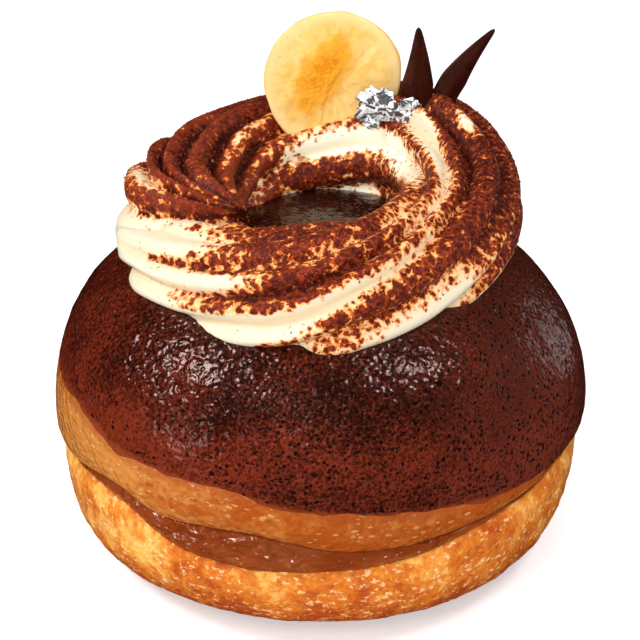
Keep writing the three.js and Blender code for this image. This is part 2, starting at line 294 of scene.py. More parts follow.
# the bun, in millimetres
bun = {
    "waistRadius": 50.6, "crustRadius": 49.5, "waistHeight": 30.0, "top": 66.1,
    "lowerDepth": 31.5, "lowerPower": 3.91, "domeHeight": 36.1, "domePower": 2.39,
    "lump": 0.35, "lumpWaves": [(3, 0.11, 0, 1.0), (5, -0.17, 1, 0.6)],  # lobes, twist, shift, size
    "fadeBelow": 8, "fadeAbove": 12, "crustLip": 1.2, "topLip": 1.9, "lipHeight": 4.0,
    # middles of the two cut faces, how they curve up to their rims, the gap to the filling
    "crustCentre": 22.5, "topCentre": 25.5, "facePower": 1.6, "gap": 0.3,
    # rim heights round the bun, by the angle from the front
    "crustRim": [
        (-180, 26), (-120, 25.8), (-90, 23.4), (-75, 22.6), (-68, 22.9), (-59, 23.6), (-45, 22.9),
        (-35, 20.2), (-26, 19.1), (-14, 18.4), (4, 18.2), (14, 18.5), (22, 19.2), (31, 20.8), (43, 22.6),
        (53, 23.6), (70, 25.2), (110, 26), (180, 26)],
    "topRim": [
        (-180, 27.4), (-120, 27), (-90, 24.7), (-70, 24.4), (-55, 26.7), (-46, 26.6), (-38, 25),
        (-31, 24.9), (-22, 25.4), (-13, 25.2), (-4, 23.8), (4, 22.4), (14, 22), (22, 22.2), (31, 23),
        (42, 24), (52, 24.8), (64, 26.3), (80, 27), (120, 27.6), (180, 27.4)],
    "glazeRim": [
        (-180, 33), (-110, 37), (-85, 38.8), (-62, 38.7), (-52, 36.8), (-46, 35.2), (-38, 34.6),
        (-29, 34.2), (-22, 34.1), (-14, 33), (-4, 31.4), (9, 30), (20, 29), (32, 28.4), (47, 27.6),
        (70, 28.5), (90, 29), (120, 30.5), (180, 33)],
}


def sideRadius(height):
    down = np.clip((bun["waistHeight"] - height) / bun["lowerDepth"], 0, 1)
    up = np.clip((height - bun["waistHeight"]) / bun["domeHeight"], 0, 1)
    lower = bun["crustRadius"] * (1 - down ** bun["lowerPower"]) ** (1 / bun["lowerPower"])
    upper = bun["waistRadius"] * (1 - up ** bun["domePower"]) ** (1 / bun["domePower"])
    return np.where(height < bun["waistHeight"], lower, upper)


def lump(angle, height):
    wave = sum(size * np.sin(lobes * angle + twist * height + shift)
               for lobes, twist, shift, size in bun["lumpWaves"])
    fade = np.clip(np.minimum(height / bun["fadeBelow"], (bun["top"] - height) / bun["fadeAbove"]), 0, 1)
    return bun["lump"] * wave * fade


def rimAt(name, angle):
    return cubicKeys(bun[name], np.degrees(angle))


def lipInset(lip, away):
    return lip * np.clip(1 - away / bun["lipHeight"], 0, 1) ** 2


def faceHeights(centre, rim, share):
    return centre + (rim - centre) * share ** bun["facePower"]


def evenRows(radii, heights, count):
    steps = np.hypot(np.diff(radii), np.diff(heights))
    along = np.concatenate([[0], np.cumsum(steps)])
    wanted = np.linspace(0, along[-1], count)
    return np.interp(wanted, along, radii), np.interp(wanted, along, heights)


# a closed skin round the bun's axis, from one profile for each angle
def revolve(name, sectors, profileAt, material):
    angles = np.linspace(-math.pi, math.pi, sectors, endpoint=False)
    radii, heights = np.moveaxis(np.array([profileAt(a) for a in angles]), 1, 0)
    x = radii * np.sin(angles)[:, None]
    y = -radii * np.cos(angles)[:, None]
    skin = np.stack([x[:, 1:-1], y[:, 1:-1], heights[:, 1:-1]], -1).reshape(-1, 3)
    ends = [[0, 0, heights[:, k].mean()] for k in (0, -1)]
    points = np.vstack([skin, ends]) * mm
    span = radii.shape[1] - 2
    return addPiece(name, points, closedFaces(sectors, span, lambda i, k: i * span + k), material)


print("materials")


# soft lumps and pits at one size, and finer ones between them
def buildGrain():
    tree, given, made = newGroup(
        "grain", "ShaderNodeTree",
        [("Vector", "Vector", None), ("Size", "Float", 0.001), ("Contrast", "Float", 1.0)],
        [("Value", "Float"), ("Fine", "Float")])
    scale = sums(tree, "DIVIDE", 1.0, given["Size"])
    noises = []
    for share, detail, roughness in ((1.0, 4.0, 0.62), (3.7, 2.0, 0.6)):
        noises.append(addNode(tree, "ShaderNodeTexNoise", {
            "Vector": given["Vector"], "Scale": times(tree, scale, share), "Detail": detail,
            "Roughness": roughness}).outputs[0])
    spread = sums(tree, "MULTIPLY_ADD", minus(tree, noises[0], 0.5), given["Contrast"], 0.5)
    tree.links.new(addNode(tree, "ShaderNodeClamp", {"Value": spread}).outputs[0], made["Value"])
    tree.links.new(noises[1], made["Fine"])
    return tree


# round marks of uneven size, open in a share of their cells
def buildPores():
    tree, given, made = newGroup(
        "pores", "ShaderNodeTree",
        [("Vector", "Vector", None), ("Size", "Float", 0.001), ("Radius", "Float", 0.4),
         ("Share", "Float", 0.5)],
        [("Mask", "Float")])
    scale = sums(tree, "DIVIDE", 1.0, given["Size"])
    cells = addNode(tree, "ShaderNodeTexVoronoi", {
        "Vector": given["Vector"], "Scale": scale, "Randomness": 1.0}).outputs
    parts = addNode(tree, "ShaderNodeSeparateColor", {"Color": cells["Color"]}).outputs
    radius = times(tree, sums(tree, "MULTIPLY_ADD", parts[0], 0.8, 0.35), given["Radius"])
    depth = sums(tree, "DIVIDE", minus(tree, radius, cells["Distance"]), radius)
    isOpen = sums(tree, "LESS_THAN", parts[1], given["Share"])
    tree.links.new(times(tree, ramp(tree, depth, 0.0, 0.4), isOpen), made["Mask"])
    return tree


grainGroup = buildGrain()
poreGroup = buildPores()


# layer is the size in millimetres and the contrast
def grain(tree, vector, layer):
    values = {"Vector": vector, "Size": layer[0] * mm, "Contrast": layer[1]}
    return addNode(tree, "ShaderNodeGroup", values, node_tree=grainGroup).outputs


# layer is the size in millimetres and the radius as a share of it
def pores(tree, vector, layer, share):
    values = {"Vector": vector, "Size": layer[0] * mm, "Radius": layer[1], "Share": share}
    return addNode(tree, "ShaderNodeGroup", values, node_tree=poreGroup).outputs["Mask"]


crustLook = {
    "pale": srgb(240, 178, 84), "mid": srgb(208, 113, 28), "deep": srgb(174, 71, 16),
    "blister": srgb(252, 206, 150),
    "blotch": (11, 2.6), "mottle": (3.0, 2.2), "fine": (1.1, 2.4), "blisters": (1.0, 0.62),
    "bend": (0.0018, 0.0018, 0.0018), "blisterStretch": (0.7, 0.7, 1.2), "bump": 0.3 * mm,
    "sockets": {"Roughness": 0.32, "Specular IOR Level": 0.34, "Specular Tint": (1.0, 0.88, 0.72, 1.0)},
}


def buildCrustMaterial():
    look = crustLook
    material, tree, shader = newMaterial("friedCrust", look["sockets"])
    at = objectCoords(tree)
    x, _, z = axesOf(tree, at)
    blotch = grain(tree, at, look["blotch"])["Value"]
    mottle = grain(tree, at, look["mottle"])["Value"]
    fine = grain(tree, at, look["fine"])
    low = ramp(tree, z, 15 * mm, 2 * mm)
    toRight = ramp(tree, x, 5 * mm, 48 * mm)
    # darker towards the foot, part the fried underside and part painted shade where the crust faces down; a
    # touch paler to the right
    share = weighted(tree, (blotch, 0.45), (mottle, 0.35), (fine["Value"], 0.2), (low, -0.3), (toRight, 0.03))
    # paler at the far left, a painted light where the left side is lit
    share = minus(tree, share, ramp(tree, x, -40 * mm, -18 * mm, outHigh=0.12))
    # blisters crowd where the crust is pale and towards the foot
    swirl = noiseAt(tree, at, 1 / 700, 3.0, output=1)
    bent = vectors(tree, "MULTIPLY_ADD", swirl, look["bend"], stretched(tree, at, look["blisterStretch"]))
    often = plus(tree, ramp(tree, mottle, 0.25, 0.8, 0.3, 0.9), times(tree, low, 0.3))
    blisters = pores(tree, bent, look["blisters"], often)
    colour = painted(
        tree, look["mid"],
        (ramp(tree, share, 0.36, 0.7), look["pale"]),
        (ramp(tree, share, 0.42, 0.1), look["deep"]),
        (times(tree, blisters, ramp(tree, fine["Value"], 0.3, 0.62, outHigh=0.62)), look["blister"]))
    bumps = weighted(tree, (blisters, 0.35), (fine["Value"], 0.6), (fine["Fine"], 0.25))
    dress(tree, shader, colour, bumps, look["bump"])
    return material


doughLook = {
    "light": srgb(188, 119, 55), "amber": srgb(154, 70, 18), "glazeStain": srgb(146, 66, 28),
    "fleckAndGlint": srgb(236, 180, 116),
    "blotch": (8, 2.2), "smear": (2.6, 2.0), "mottle": (1.2, 2.6), "flecks": (1.1, 0.5), "fleckShare": 0.34,
    "smearStretch": (0.6, 0.6, 1.2), "fleckStretch": (0.7, 0.7, 1.5), "flowStretch": (1, 1, 1.4),
    "roughness": (0.05, 0.22), "bump": 0.4 * mm,
    "sockets": {"Specular IOR Level": 0.6, "Specular Tint": (1.0, 0.9, 0.75, 1.0)},
}


def buildDoughMaterial():
    look = doughLook
    material, tree, shader = newMaterial("tanDough", look["sockets"])
    at = objectCoords(tree)
    blotch = grain(tree, at, look["blotch"])["Value"]
    smear = grain(tree, stretched(tree, at, look["smearStretch"]), look["smear"])
    mottle = grain(tree, at, look["mottle"])["Value"]
    flecks = pores(tree, stretched(tree, at, look["fleckStretch"]), look["flecks"], look["fleckShare"])
    # paler to the left, darker to the front and right: painted light and shade that even out how the lamps
    # fall on the band
    toLeft = ramp(tree, axesOf(tree, at)[0], -6 * mm, -48 * mm, -0.24, 0.28)
    share = weighted(tree, (blotch, 0.45), (smear["Value"], 0.35), (mottle, 0.26))
    share = plus(tree, share, toLeft)
    stain = plus(tree, attributeValue(tree, "stain"), offCentre(tree, smear["Value"], 0.6))
    colour = painted(
        tree, look["amber"],
        (ramp(tree, share, 0.22, 0.72), look["light"]),
        # pale flecks, partly specks of the dough and partly painted glints
        (times(tree, flecks, 0.34), look["fleckAndGlint"]),
        (ramp(tree, stain, 0.3, 1.1, outHigh=0.6), look["glazeStain"]))
    rough = ramp(tree, smear["Fine"], 0.35, 0.65, *look["roughness"])
    flows = noiseAt(tree, stretched(tree, at, look["flowStretch"]), 1.7 * mm, 1.0)
    bumps = weighted(tree, (flows, 1.6), (smear["Value"], 0.3), (flecks, 0.3))
    dress(tree, shader, colour, bumps, look["bump"], rough)
    return material


pasteLook = {
    "light": srgb(134, 65, 30), "dark": srgb(120, 49, 15),
    "swirl": (8, 2.0), "fine": (2.0, 1.6), "stretch": (0.5, 0.5, 1.6),
    "roughness": (0.05, 0.14), "bump": 0.9 * mm,
    "sockets": {
        "Specular IOR Level": 0.6, "Specular Tint": (1.0, 0.92, 0.82, 1.0),
        "Subsurface Weight": 0.1, "Subsurface Radius": (0.002, 0.001, 0.0005)},
}


def buildPasteMaterial():
    look = pasteLook
    material, tree, shader = newMaterial("caramelPaste", look["sockets"])
    smear = stretched(tree, objectCoords(tree), look["stretch"])
    swirl = grain(tree, smear, look["swirl"])["Value"]
    fine = grain(tree, smear, look["fine"])["Fine"]
    colour = painted(tree, look["dark"], (ramp(tree, swirl, 0.25, 0.75), look["light"]))
    rough = ramp(tree, fine, 0.3, 0.8, *look["roughness"])
    dress(tree, shader, colour, noiseAt(tree, smear, 1.8 * mm, 1.5), look["bump"], rough)
    return material


glazeLook = {
    "dark": srgb(35, 9, 4), "mid": srgb(81, 26, 13), "red": srgb(116, 40, 20), "brown": srgb(98, 42, 30),
    "edge": srgb(128, 54, 24), "poreDentAndShade": srgb(12, 4, 3), "paintedHoleShade": srgb(31, 8, 3),
    "blotch": (12, 2.2), "peel": (2.6, 1.6), "mottle": (0.65, 3.0),
    "pores": (1.0, 0.44), "bigPores": (3.6, 0.2), "smallPores": (0.6, 0.42),
    "swell": 2.4 * mm, "pimple": 0.9 * mm, "roughness": (0.11, 0.25), "bump": 0.2 * mm,
    "sockets": {"Specular IOR Level": 0.36, "Specular Tint": (1.0, 0.74, 0.68, 1.0)},
}


def buildGlazeMaterial():
    look = glazeLook
    material, tree, shader = newMaterial("chocolateGlaze", look["sockets"])
    at = objectCoords(tree)
    x, _, z = axesOf(tree, at)
    blotch = grain(tree, at, look["blotch"])["Value"]
    peel = grain(tree, at, look["peel"])["Value"]
    mottle = grain(tree, at, look["mottle"])["Value"]
    thin = attributeValue(tree, "thin")
    # the ring's hole; the glaze colour there is painted near black, a painted shade
    hole = ramp(tree, z, 62 * mm, 64.5 * mm)
    # pores crowd to the right and stop short of the thin edge
    farRight = ramp(tree, x, 10 * mm, 44 * mm)
    uneven = sums(tree, "MULTIPLY_ADD", minus(tree, blotch, 0.5), 0.5, ramp(tree, x, -40 * mm, 14 * mm))
    share = times(tree, sums(tree, "MULTIPLY_ADD", uneven, 0.7, 0.4), ramp(tree, thin, 0.7, 0.2))
    big = pores(tree, at, look["bigPores"], times(tree, share, 0.4))
    small = pores(tree, at, look["smallPores"], times(tree, share, 0.9))
    # the pores are dents, and their near-black colour is a painted shade in the pits
    poreDentAndShade = sums(tree, "MAXIMUM", pores(tree, at, look["pores"], share), big)
    poreDentAndShade = sums(tree, "MAXIMUM", poreDentAndShade, times(tree, small, 0.7))
    # darker high up and redder down the side; lighter and redder to the left, a painted sheen where the left
    # side is lit
    depth = weighted(tree, (mottle, 0.6), (blotch, 0.4))
    depth = plus(tree, depth, ramp(tree, z, 50 * mm, 37 * mm, -0.12, 0.12))
    depth = plus(tree, depth, ramp(tree, x, -14 * mm, -44 * mm, outHigh=0.16))
    edge = plus(tree, thin, offCentre(tree, peel, 0.5))
    colour = painted(
        tree, look["dark"],
        (ramp(tree, depth, 0.2, 0.7), look["mid"]),
        (ramp(tree, depth, 0.5, 0.9, outHigh=0.7), look["red"]),
        (times(tree, farRight, 0.55), look["brown"]),
        (ramp(tree, edge, 0.2, 1.1), look["edge"]),
        # painted shade in the ring's hole
        (hole, look["paintedHoleShade"]),
        # painted shade in the pores
        (times(tree, poreDentAndShade, 0.85), look["poreDentAndShade"]))
    rough = sums(tree, "MULTIPLY_ADD", hole, -0.06, ramp(tree, mottle, 0.3, 0.7, *look["roughness"]))
    # the relief is calm in the hole, to the right and down the side
    calm = sums(tree, "MULTIPLY_ADD", hole, -0.85, ramp(tree, z, 37 * mm, 50 * mm, outLow=0.4))
    calm = times(tree, calm, ramp(tree, x, -6 * mm, 14 * mm, 1.0, 0.62))
    swell = noiseAt(tree, at, look["swell"], 1.0)
    pimple = noiseAt(tree, at, look["pimple"], 0.0)
    relief = weighted(tree, (swell, 2.7), (pimple, 1.1))
    relief = minus(tree, times(tree, relief, calm), times(tree, poreDentAndShade, plus(tree, farRight, 0.8)))
    dress(tree, shader, colour, relief, look["bump"], rough)
    return material


creamLook = {
    # the inner colour is a painted light on the ring's inner wall and the glow a painted glow there; the
    # groove colour is painted shade, the thickest dust partly painted shade
    "lobe": srgb(220, 208, 181), "paintedGrooveShade": srgb(232, 198, 148), "inner": srgb(255, 246, 216),
    "stained": srgb(240, 186, 122), "film": srgb(216, 130, 54), "thinDust": srgb(180, 78, 24),
    "redDust": srgb(148, 52, 18), "packed": srgb(126, 46, 22), "darkDust": srgb(86, 23, 8),
    "thickDustAndShade": srgb(60, 14, 5), "glow": (1.0, 0.93, 0.78, 1.0),
    "clumps": (0.85, 2.8), "combed": (2.3, 0.9, 0.9), "bend": (0.0009, 0.0009, 0.0009),
    "roughness": (0.42, 0.55), "bump": 0.22 * mm,
    # the emission is the painted glow on the inner wall
    "sockets": {
        "Specular IOR Level": 0.2, "Emission Strength": 0.18,
        "Subsurface Weight": 0.3, "Subsurface Scale": 1.0, "Subsurface Radius": (0.0034, 0.0024, 0.0014)},
}


# how much sieved cocoa lies at a place, and the specks in it
def sievedCocoa(tree, at, cover):
    rope = attributeValue(tree, "ropeSpace", "Vector")
    cloud = noiseAt(tree, at, 2.3 * mm, 4.0, 0.6)
    combed = noiseAt(tree, stretched(tree, rope, creamLook["combed"]), 1.3 * mm, 3.0, 0.5)
    strands = attributeValue(tree, "strands")
    cloud = addNode(tree, "ShaderNodeMix", {0: strands, 2: cloud, 3: combed}).outputs[0]
    swirl = vectors(tree, "SUBTRACT", noiseAt(tree, at, 1 / 800, 2.0, output=1), (0.5, 0.5, 0.5))
    bent = vectors(tree, "MULTIPLY_ADD", swirl, creamLook["bend"], at)
    dots = addNode(tree, "ShaderNodeTexVoronoi", {
        "Vector": bent, "Scale": 1 / (1.15 * mm), "Randomness": 1.0}).outputs["Distance"]
    specks = noiseAt(tree, at, 0.5 * mm, 2.0, 0.6)
    bar = plus(tree, offCentre(tree, cloud, 1.9), offCentre(tree, dots, 0.9))
    bar = plus(tree, bar, offCentre(tree, specks, 0.65))
    return minus(tree, minus(tree, cover, 0.5), bar), specks


def buildCreamMaterial():
    look = creamLook
    material, tree, shader = newMaterial("pipedCream", look["sockets"])
    at = objectCoords(tree)
    cocoa, innerPaintedLight, packed, paintedGrooveShade, thickness = [
        attributeValue(tree, name) for name in ("cocoa", "innerPaintedLight", "packed", "paintedGrooveShade", "thickness")]
    amount, specks = sievedCocoa(tree, at, cocoa)
    film = ramp(tree, amount, -0.34, 0.0)
    full = ramp(tree, amount, 0.05, 0.2)
    # thick dust, deepest in the grooves and on the tail: partly piled cocoa, partly painted shade in the
    # grooves
    heavy = plus(tree, plus(tree, amount, thickness), offCentre(tree, specks, 0.9))
    thick = times(tree, ramp(tree, heavy, 0.4, 1.05), full)
    clumps = grain(tree, at, look["clumps"])["Value"]
    lit = ramp(tree, minus(tree, clumps, times(tree, amount, 0.35)), 0.2, 0.75)
    powder = painted(
        tree, look["darkDust"],
        (lit, look["redDust"]),
        (times(tree, packed, 0.65), look["packed"]))
    colour = painted(
        tree, look["lobe"],
        # painted light: the inner wall over the hole is painted lighter
        (innerPaintedLight, look["inner"]),
        # painted shade: the cream is warmer and darker down in the grooves
        (paintedGrooveShade, look["paintedGrooveShade"]),
        (ramp(tree, cocoa, 0.12, 0.75), look["stained"]),
        (times(tree, film, 0.9), look["film"]),
        (ramp(tree, amount, -0.04, 0.07), look["thinDust"]),
        (full, powder),
        # the darkest dust: piled cocoa and painted groove shade together
        (thick, look["thickDustAndShade"]))
    # painted glow: where the ring overhangs its hole, the bare cream of the inner wall glows warm, a painted
    # light
    uncovered = times(tree, innerPaintedLight, ramp(tree, film, 0.8, 0.0))
    tree.links.new(painted(tree, (0, 0, 0, 1), (uncovered, look["glow"])), shader.inputs["Emission Color"])
    rough = ramp(tree, full, 0.0, 1.0, *look["roughness"])
    relief = plus(tree, times(tree, full, 0.5), times(tree, specks, full, 1.2))
    relief = times(tree, relief, sums(tree, "MULTIPLY_ADD", packed, -0.7, 1.0))
    dress(tree, shader, colour, relief, look["bump"], rough)
    return material


cocoaLook = {
    "light": srgb(158, 66, 26), "dark": srgb(84, 22, 8), "bump": 0.05 * mm,
    "sockets": {"Roughness": 0.6},
}


def buildCocoaMaterial():
    look = cocoaLook
    material, tree, shader = newMaterial("cocoaGrain", look["sockets"])
    at = objectCoords(tree)
    tint = noiseAt(tree, at, 1.1 * mm, 2.0, 0.6)
    colour = painted(tree, look["dark"], (ramp(tree, tint, 0.35, 0.7), look["light"]))
    dress(tree, shader, colour, noiseAt(tree, at, 0.15 * mm, 2.0, 0.6), look["bump"])
    return material


bananaLook = {
    "rim": srgb(243, 210, 146), "flesh": srgb(242, 204, 128), "mottle": srgb(236, 182, 74),
    "core": srgb(234, 156, 12), "streak": srgb(220, 130, 6), "seed": srgb(164, 98, 28),
    "edge": srgb(222, 162, 70),
    "coreAt": (-0.0021, 0.0016, 0), "coreAcross": (0.82, -0.57, 0), "coreAlong": (0.57, 0.82, 0),
    "coreLength": 0.52,
    "creaseFrom": (0.0015, 0.0039, 0), "creaseAlong": (-0.343, -0.939, 0), "creaseAside": (-0.939, 0.343, 0),
    "seeds": (1.9, 0.26), "seedStretch": (1.4, 0.6, 1), "seedsAt": (0.0028, 0.0012, 0), "specks": (1.7, 0.12),
    "roughness": (0.36, 0.1), "bump": 0.26 * mm,
    "sockets": {
        "Specular IOR Level": 0.5,
        "Subsurface Weight": 0.2, "Subsurface Scale": 1.0, "Subsurface Radius": (0.002, 0.0014, 0.0006)},
}


def buildBananaMaterial():
    look = bananaLook
    material, tree, shader = newMaterial("bananaFlesh", look["sockets"])
    face = attributeValue(tree, "slice", "Vector")
    x, y, _ = axesOf(tree, face)
    flat = addNode(tree, "ShaderNodeCombineXYZ", {0: x, 1: y}).outputs[0]
    reach = vectors(tree, "LENGTH", flat)
    cloud = noiseAt(tree, face, 3.2 * mm, 4.0, 0.6)
    fine = noiseAt(tree, face, 0.8 * mm, 3.0, 0.6)
    # the core is a ragged oval
    fromCore = vectors(tree, "SUBTRACT", flat, look["coreAt"])
    across = vectors(tree, "DOT_PRODUCT", fromCore, look["coreAcross"])
    along = times(tree, vectors(tree, "DOT_PRODUCT", fromCore, look["coreAlong"]), look["coreLength"])
    coreReach = sums(tree, "SQRT", plus(tree, times(tree, across, across), times(tree, along, along)))
    coreReach = plus(tree, coreReach, offCentre(tree, cloud, 7 * mm))
    core = ramp(tree, coreReach, 6.0 * mm, 2.8 * mm)
    streak = ramp(tree, plus(tree, coreReach, offCentre(tree, fine, 3 * mm)), 2.6 * mm, 0.4 * mm)
    # soft streaks run out from the middle
    outward = scaled(tree, vectors(tree, "NORMALIZE", flat), 0.008)
    outward = vectors(tree, "ADD", outward, vectors(tree, "MULTIPLY", flat, (0.35, 0.35, 0.35)))
    fibres = noiseAt(tree, outward, 1.7 * mm, 3.0, 0.55)
    # a crease runs down from the core
    fromCrease = vectors(tree, "SUBTRACT", flat, look["creaseFrom"])
    down = vectors(tree, "DOT_PRODUCT", fromCrease, look["creaseAlong"])
    aside = vectors(tree, "DOT_PRODUCT", fromCrease, look["creaseAside"])
    aside = plus(tree, aside, offCentre(tree, cloud, 5 * mm))
    inCrease = times(tree, ramp(tree, down, -1 * mm, 1 * mm), ramp(tree, down, 14 * mm, 11 * mm))
    line = times(tree, ramp(tree, sums(tree, "ABSOLUTE", aside), 0.5 * mm, 0.1 * mm), inCrease)
    step = times(tree, ramp(tree, aside, -0.6 * mm, 0.4 * mm), inCrease)
    seeds = pores(tree, stretched(tree, face, look["seedStretch"]), look["seeds"], 0.4)
    fromSeeds = vectors(tree, "DISTANCE", flat, look["seedsAt"])
    seeds = times(tree, seeds, ramp(tree, fromSeeds, 5.2 * mm, 2.6 * mm))
    specks = pores(tree, face, look["specks"], 0.5)
    colour = painted(
        tree, look["flesh"],
        (ramp(tree, fibres, 0.4, 0.68, outHigh=0.62), look["mottle"]),
        (ramp(tree, cloud, 0.46, 0.66, outHigh=0.6), look["mottle"]),
        (ramp(tree, reach, 10.5 * mm, 12.6 * mm, outHigh=0.8), look["rim"]),
        (ramp(tree, reach, 12.9 * mm, 13.4 * mm, outHigh=0.6), look["edge"]),
        (times(tree, core, 0.85), look["core"]),
        (times(tree, streak, 0.75), look["streak"]),
        (times(tree, line, 0.2), look["streak"]),
        (times(tree, seeds, 0.75), look["seed"]),
        (times(tree, specks, 0.5), look["seed"]))
    rough = ramp(tree, core, 0.0, 1.0, *look["roughness"])
    relief = plus(tree, times(tree, cloud, sums(tree, "MULTIPLY_ADD", core, 1.6, 0.35)),
                  times(tree, fine, sums(tree, "MULTIPLY_ADD", core, 0.5, 0.2)))
    dress(tree, shader, colour, plus(tree, relief, times(tree, step, 0.5)), look["bump"], rough)
    return material


chocolateLook = {
    "dark": srgb(28, 6, 2), "light": srgb(68, 22, 10),
    "clouds": (3.4, 1.6), "specks": (0.5, 2.0), "bump": 0.08 * mm,
    "sockets": {"Roughness": 0.2, "Specular IOR Level": 0.46, "Specular Tint": (1.0, 0.8, 0.72, 1.0)},
}


def buildChocolateMaterial():
    look = chocolateLook
    material, tree, shader = newMaterial("darkChocolate", look["sockets"])
    at = objectCoords(tree)
    clouds = grain(tree, at, look["clouds"])["Value"]
    specks = grain(tree, at, look["specks"])["Value"]
    colour = painted(
        tree, look["dark"],
        (times(tree, clouds, 0.7), look["light"]),
        (times(tree, ramp(tree, specks, 0.75, 0.95), 0.5), look["light"]))
    dress(tree, shader, colour, specks, look["bump"])
    return material


foilLook = {
    "bright": srgb(252, 252, 254), "mid": srgb(208, 208, 212), "dark": srgb(88, 87, 88),
    "creaseStretch": (1.6, 1.0, 0.7), "bump": 0.12 * mm,
    "sockets": {"Metallic": 0.22, "Roughness": 0.22},
}


def buildFoilMaterial():
    look = foilLook
    material, tree, shader = newMaterial("silverFoil", look["sockets"])
    creases = noiseAt(tree, stretched(tree, objectCoords(tree), look["creaseStretch"]), 0.5 * mm, 2.0, 0.6)
    # painted reflection: each facet and crease is painted its own grey, for what the foil would reflect
    share = plus(tree, attributeValue(tree, "facetReflection"), offCentre(tree, creases, 0.6))
    colour = painted(
        tree, look["dark"],
        (ramp(tree, share, 0.12, 0.34), look["mid"]),
        (ramp(tree, share, 0.36, 0.56), look["bright"]))
    dress(tree, shader, colour, creases, look["bump"])
    return material


crustMaterial = buildCrustMaterial()
doughMaterial = buildDoughMaterial()
pasteMaterial = buildPasteMaterial()
glazeMaterial = buildGlazeMaterial()
creamMaterial = buildCreamMaterial()
cocoaMaterial = buildCocoaMaterial()
bananaMaterial = buildBananaMaterial()
chocolateMaterial = buildChocolateMaterial()
foilMaterial = buildFoilMaterial()


# lumps, pebbles and sharp folds on a skin, as strong as its relief attribute says
def buildReliefTree():
    tree, given, ends = newTree("reliefOnSkin", [
        ("Lump Size", "Float", 0.008), ("Lump Height", "Float", 0.0004),
        ("Pebble Size", "Float", 0.002), ("Pebble Height", "Float", 0.0001),
        ("Fold Size", "Float", 0.006), ("Fold Height", "Float", 0.0),
        ("Flatten", "Float", 1.0), ("Seed", "Float", 0.0)])
    at = tree.nodes.new("GeometryNodeInputPosition").outputs[0]
    squeeze = addNode(tree, "ShaderNodeCombineXYZ", {0: 1.0, 1: 1.0, 2: given["Flatten"]}).outputs[0]
    spot = vectors(tree, "MULTIPLY", at, squeeze)

    def seeded(sizeName, seed, detail, roughness, distortion=0.0):
        return addNode(tree, "ShaderNodeTexNoise", {
            "Vector": spot, "W": seed, "Scale": sums(tree, "DIVIDE", 1.0, given[sizeName]), "Detail": detail,
            "Roughness": roughness, "Distortion": distortion}, noise_dimensions="4D").outputs[0]

    lumps = seeded("Lump Size", given["Seed"], 2.0, 0.5)
    pebbles = seeded("Pebble Size", given["Seed"], 3.0, 0.6)
    push = plus(tree, offCentre(tree, lumps, times(tree, given["Lump Height"], 2.0)),
                offCentre(tree, pebbles, times(tree, given["Pebble Height"], 2.0)))
    # sharp crests where the noise crosses its middle
    folds = seeded("Fold Size", plus(tree, given["Seed"], 3.0), 1.5, 0.45, 0.6)
    away = times(tree, sums(tree, "ABSOLUTE", minus(tree, folds, 0.5)), 9.0)
    crest = minus(tree, 1.0, sums(tree, "MINIMUM", 1.0, away))
    push = sums(tree, "MULTIPLY_ADD", crest, given["Fold Height"], push)
    push = times(tree, push, carried(tree, "relief"))
    return closeTree(tree, pushOut(tree, given["Geometry"], push), given["Material"], ends)


reliefTree = buildReliefTree()

print("crust base")

crust = {
    "sectors": 480, "samples": 260, "crowding": 1.7, "rows": 84, "underRows": 8, "faceRows": 9,
    "relief": {"Lump Size": 8 * mm, "Lump Height": 0.5 * mm, "Pebble Size": 2.2 * mm,
               "Pebble Height": 0.34 * mm, "Flatten": 1.2, "Seed": 2.0, "Material": crustMaterial},
}


def crustProfile(angle):
    rim = float(rimAt("crustRim", angle))
    heights = rim * (1 - (1 - np.linspace(0, 1, crust["samples"])) ** crust["crowding"])
    radii = sideRadius(heights) + lump(angle, heights) - lipInset(bun["crustLip"], rim - heights)
    radii, heights = evenRows(radii, heights, crust["rows"])
    under = np.linspace(0, radii[0], crust["underRows"])[:-1]
    over = np.linspace(radii[-1], 0, crust["faceRows"])[1:]
    overHeights = faceHeights(bun["crustCentre"], rim, over / radii[-1])
    return np.concatenate([under, radii, over]), np.concatenate([under * 0, heights, overHeights])


crustBase = revolve("crustBase", crust["sectors"], crustProfile, crustMaterial)
places, phi = placesOf(crustBase)
aboveFoot = smoothStep(places[:, 2], 0.2, 3.5)
belowRim = 0.25 + 0.75 * smoothStep(rimAt("crustRim", phi) - places[:, 2], 0, 3)
toRight = 0.75 + 0.5 * smoothStep(places[:, 0], 5, 45)
setAttribute(crustBase, "relief", aboveFoot * belowRim * toRight)
runTree(crustBase, reliefTree, crust["relief"])

print("caramel filling")

filling = {
    "sectors": 840, "rows": 34, "faceRows": 10, "inset": 1.4, "bulge": 0.4,
    "smear": (-14, 24, 0.9),  # angle from the front, half width, how far out
    "runs": [(-28, 5, 0.3), (-15, 6, 0.5), (-4, 5, 0.3), (8, 6, 0.3)],  # angle, half width, drop
    # angle, half width, strength
    "crests": [(-34, 11, 1.0), (-24, 5, 0.8), (-10, 8, 1.1), (14, 9, 0.5), (28, 7, 0.8)],
    "relief": {"Lump Size": 5 * mm, "Lump Height": 0.3 * mm, "Pebble Size": 1.6 * mm,
               "Pebble Height": 0.05 * mm, "Fold Size": 4.4 * mm, "Fold Height": 0.75 * mm,
               "Flatten": 1.4, "Seed": 5.0, "Material": pasteMaterial},
}


# rounded hills at their angles from the front, in degrees
def hills(keys, degrees):
    return sum(height * np.exp(-((degrees - at) / width) ** 2) for at, width, height in keys)


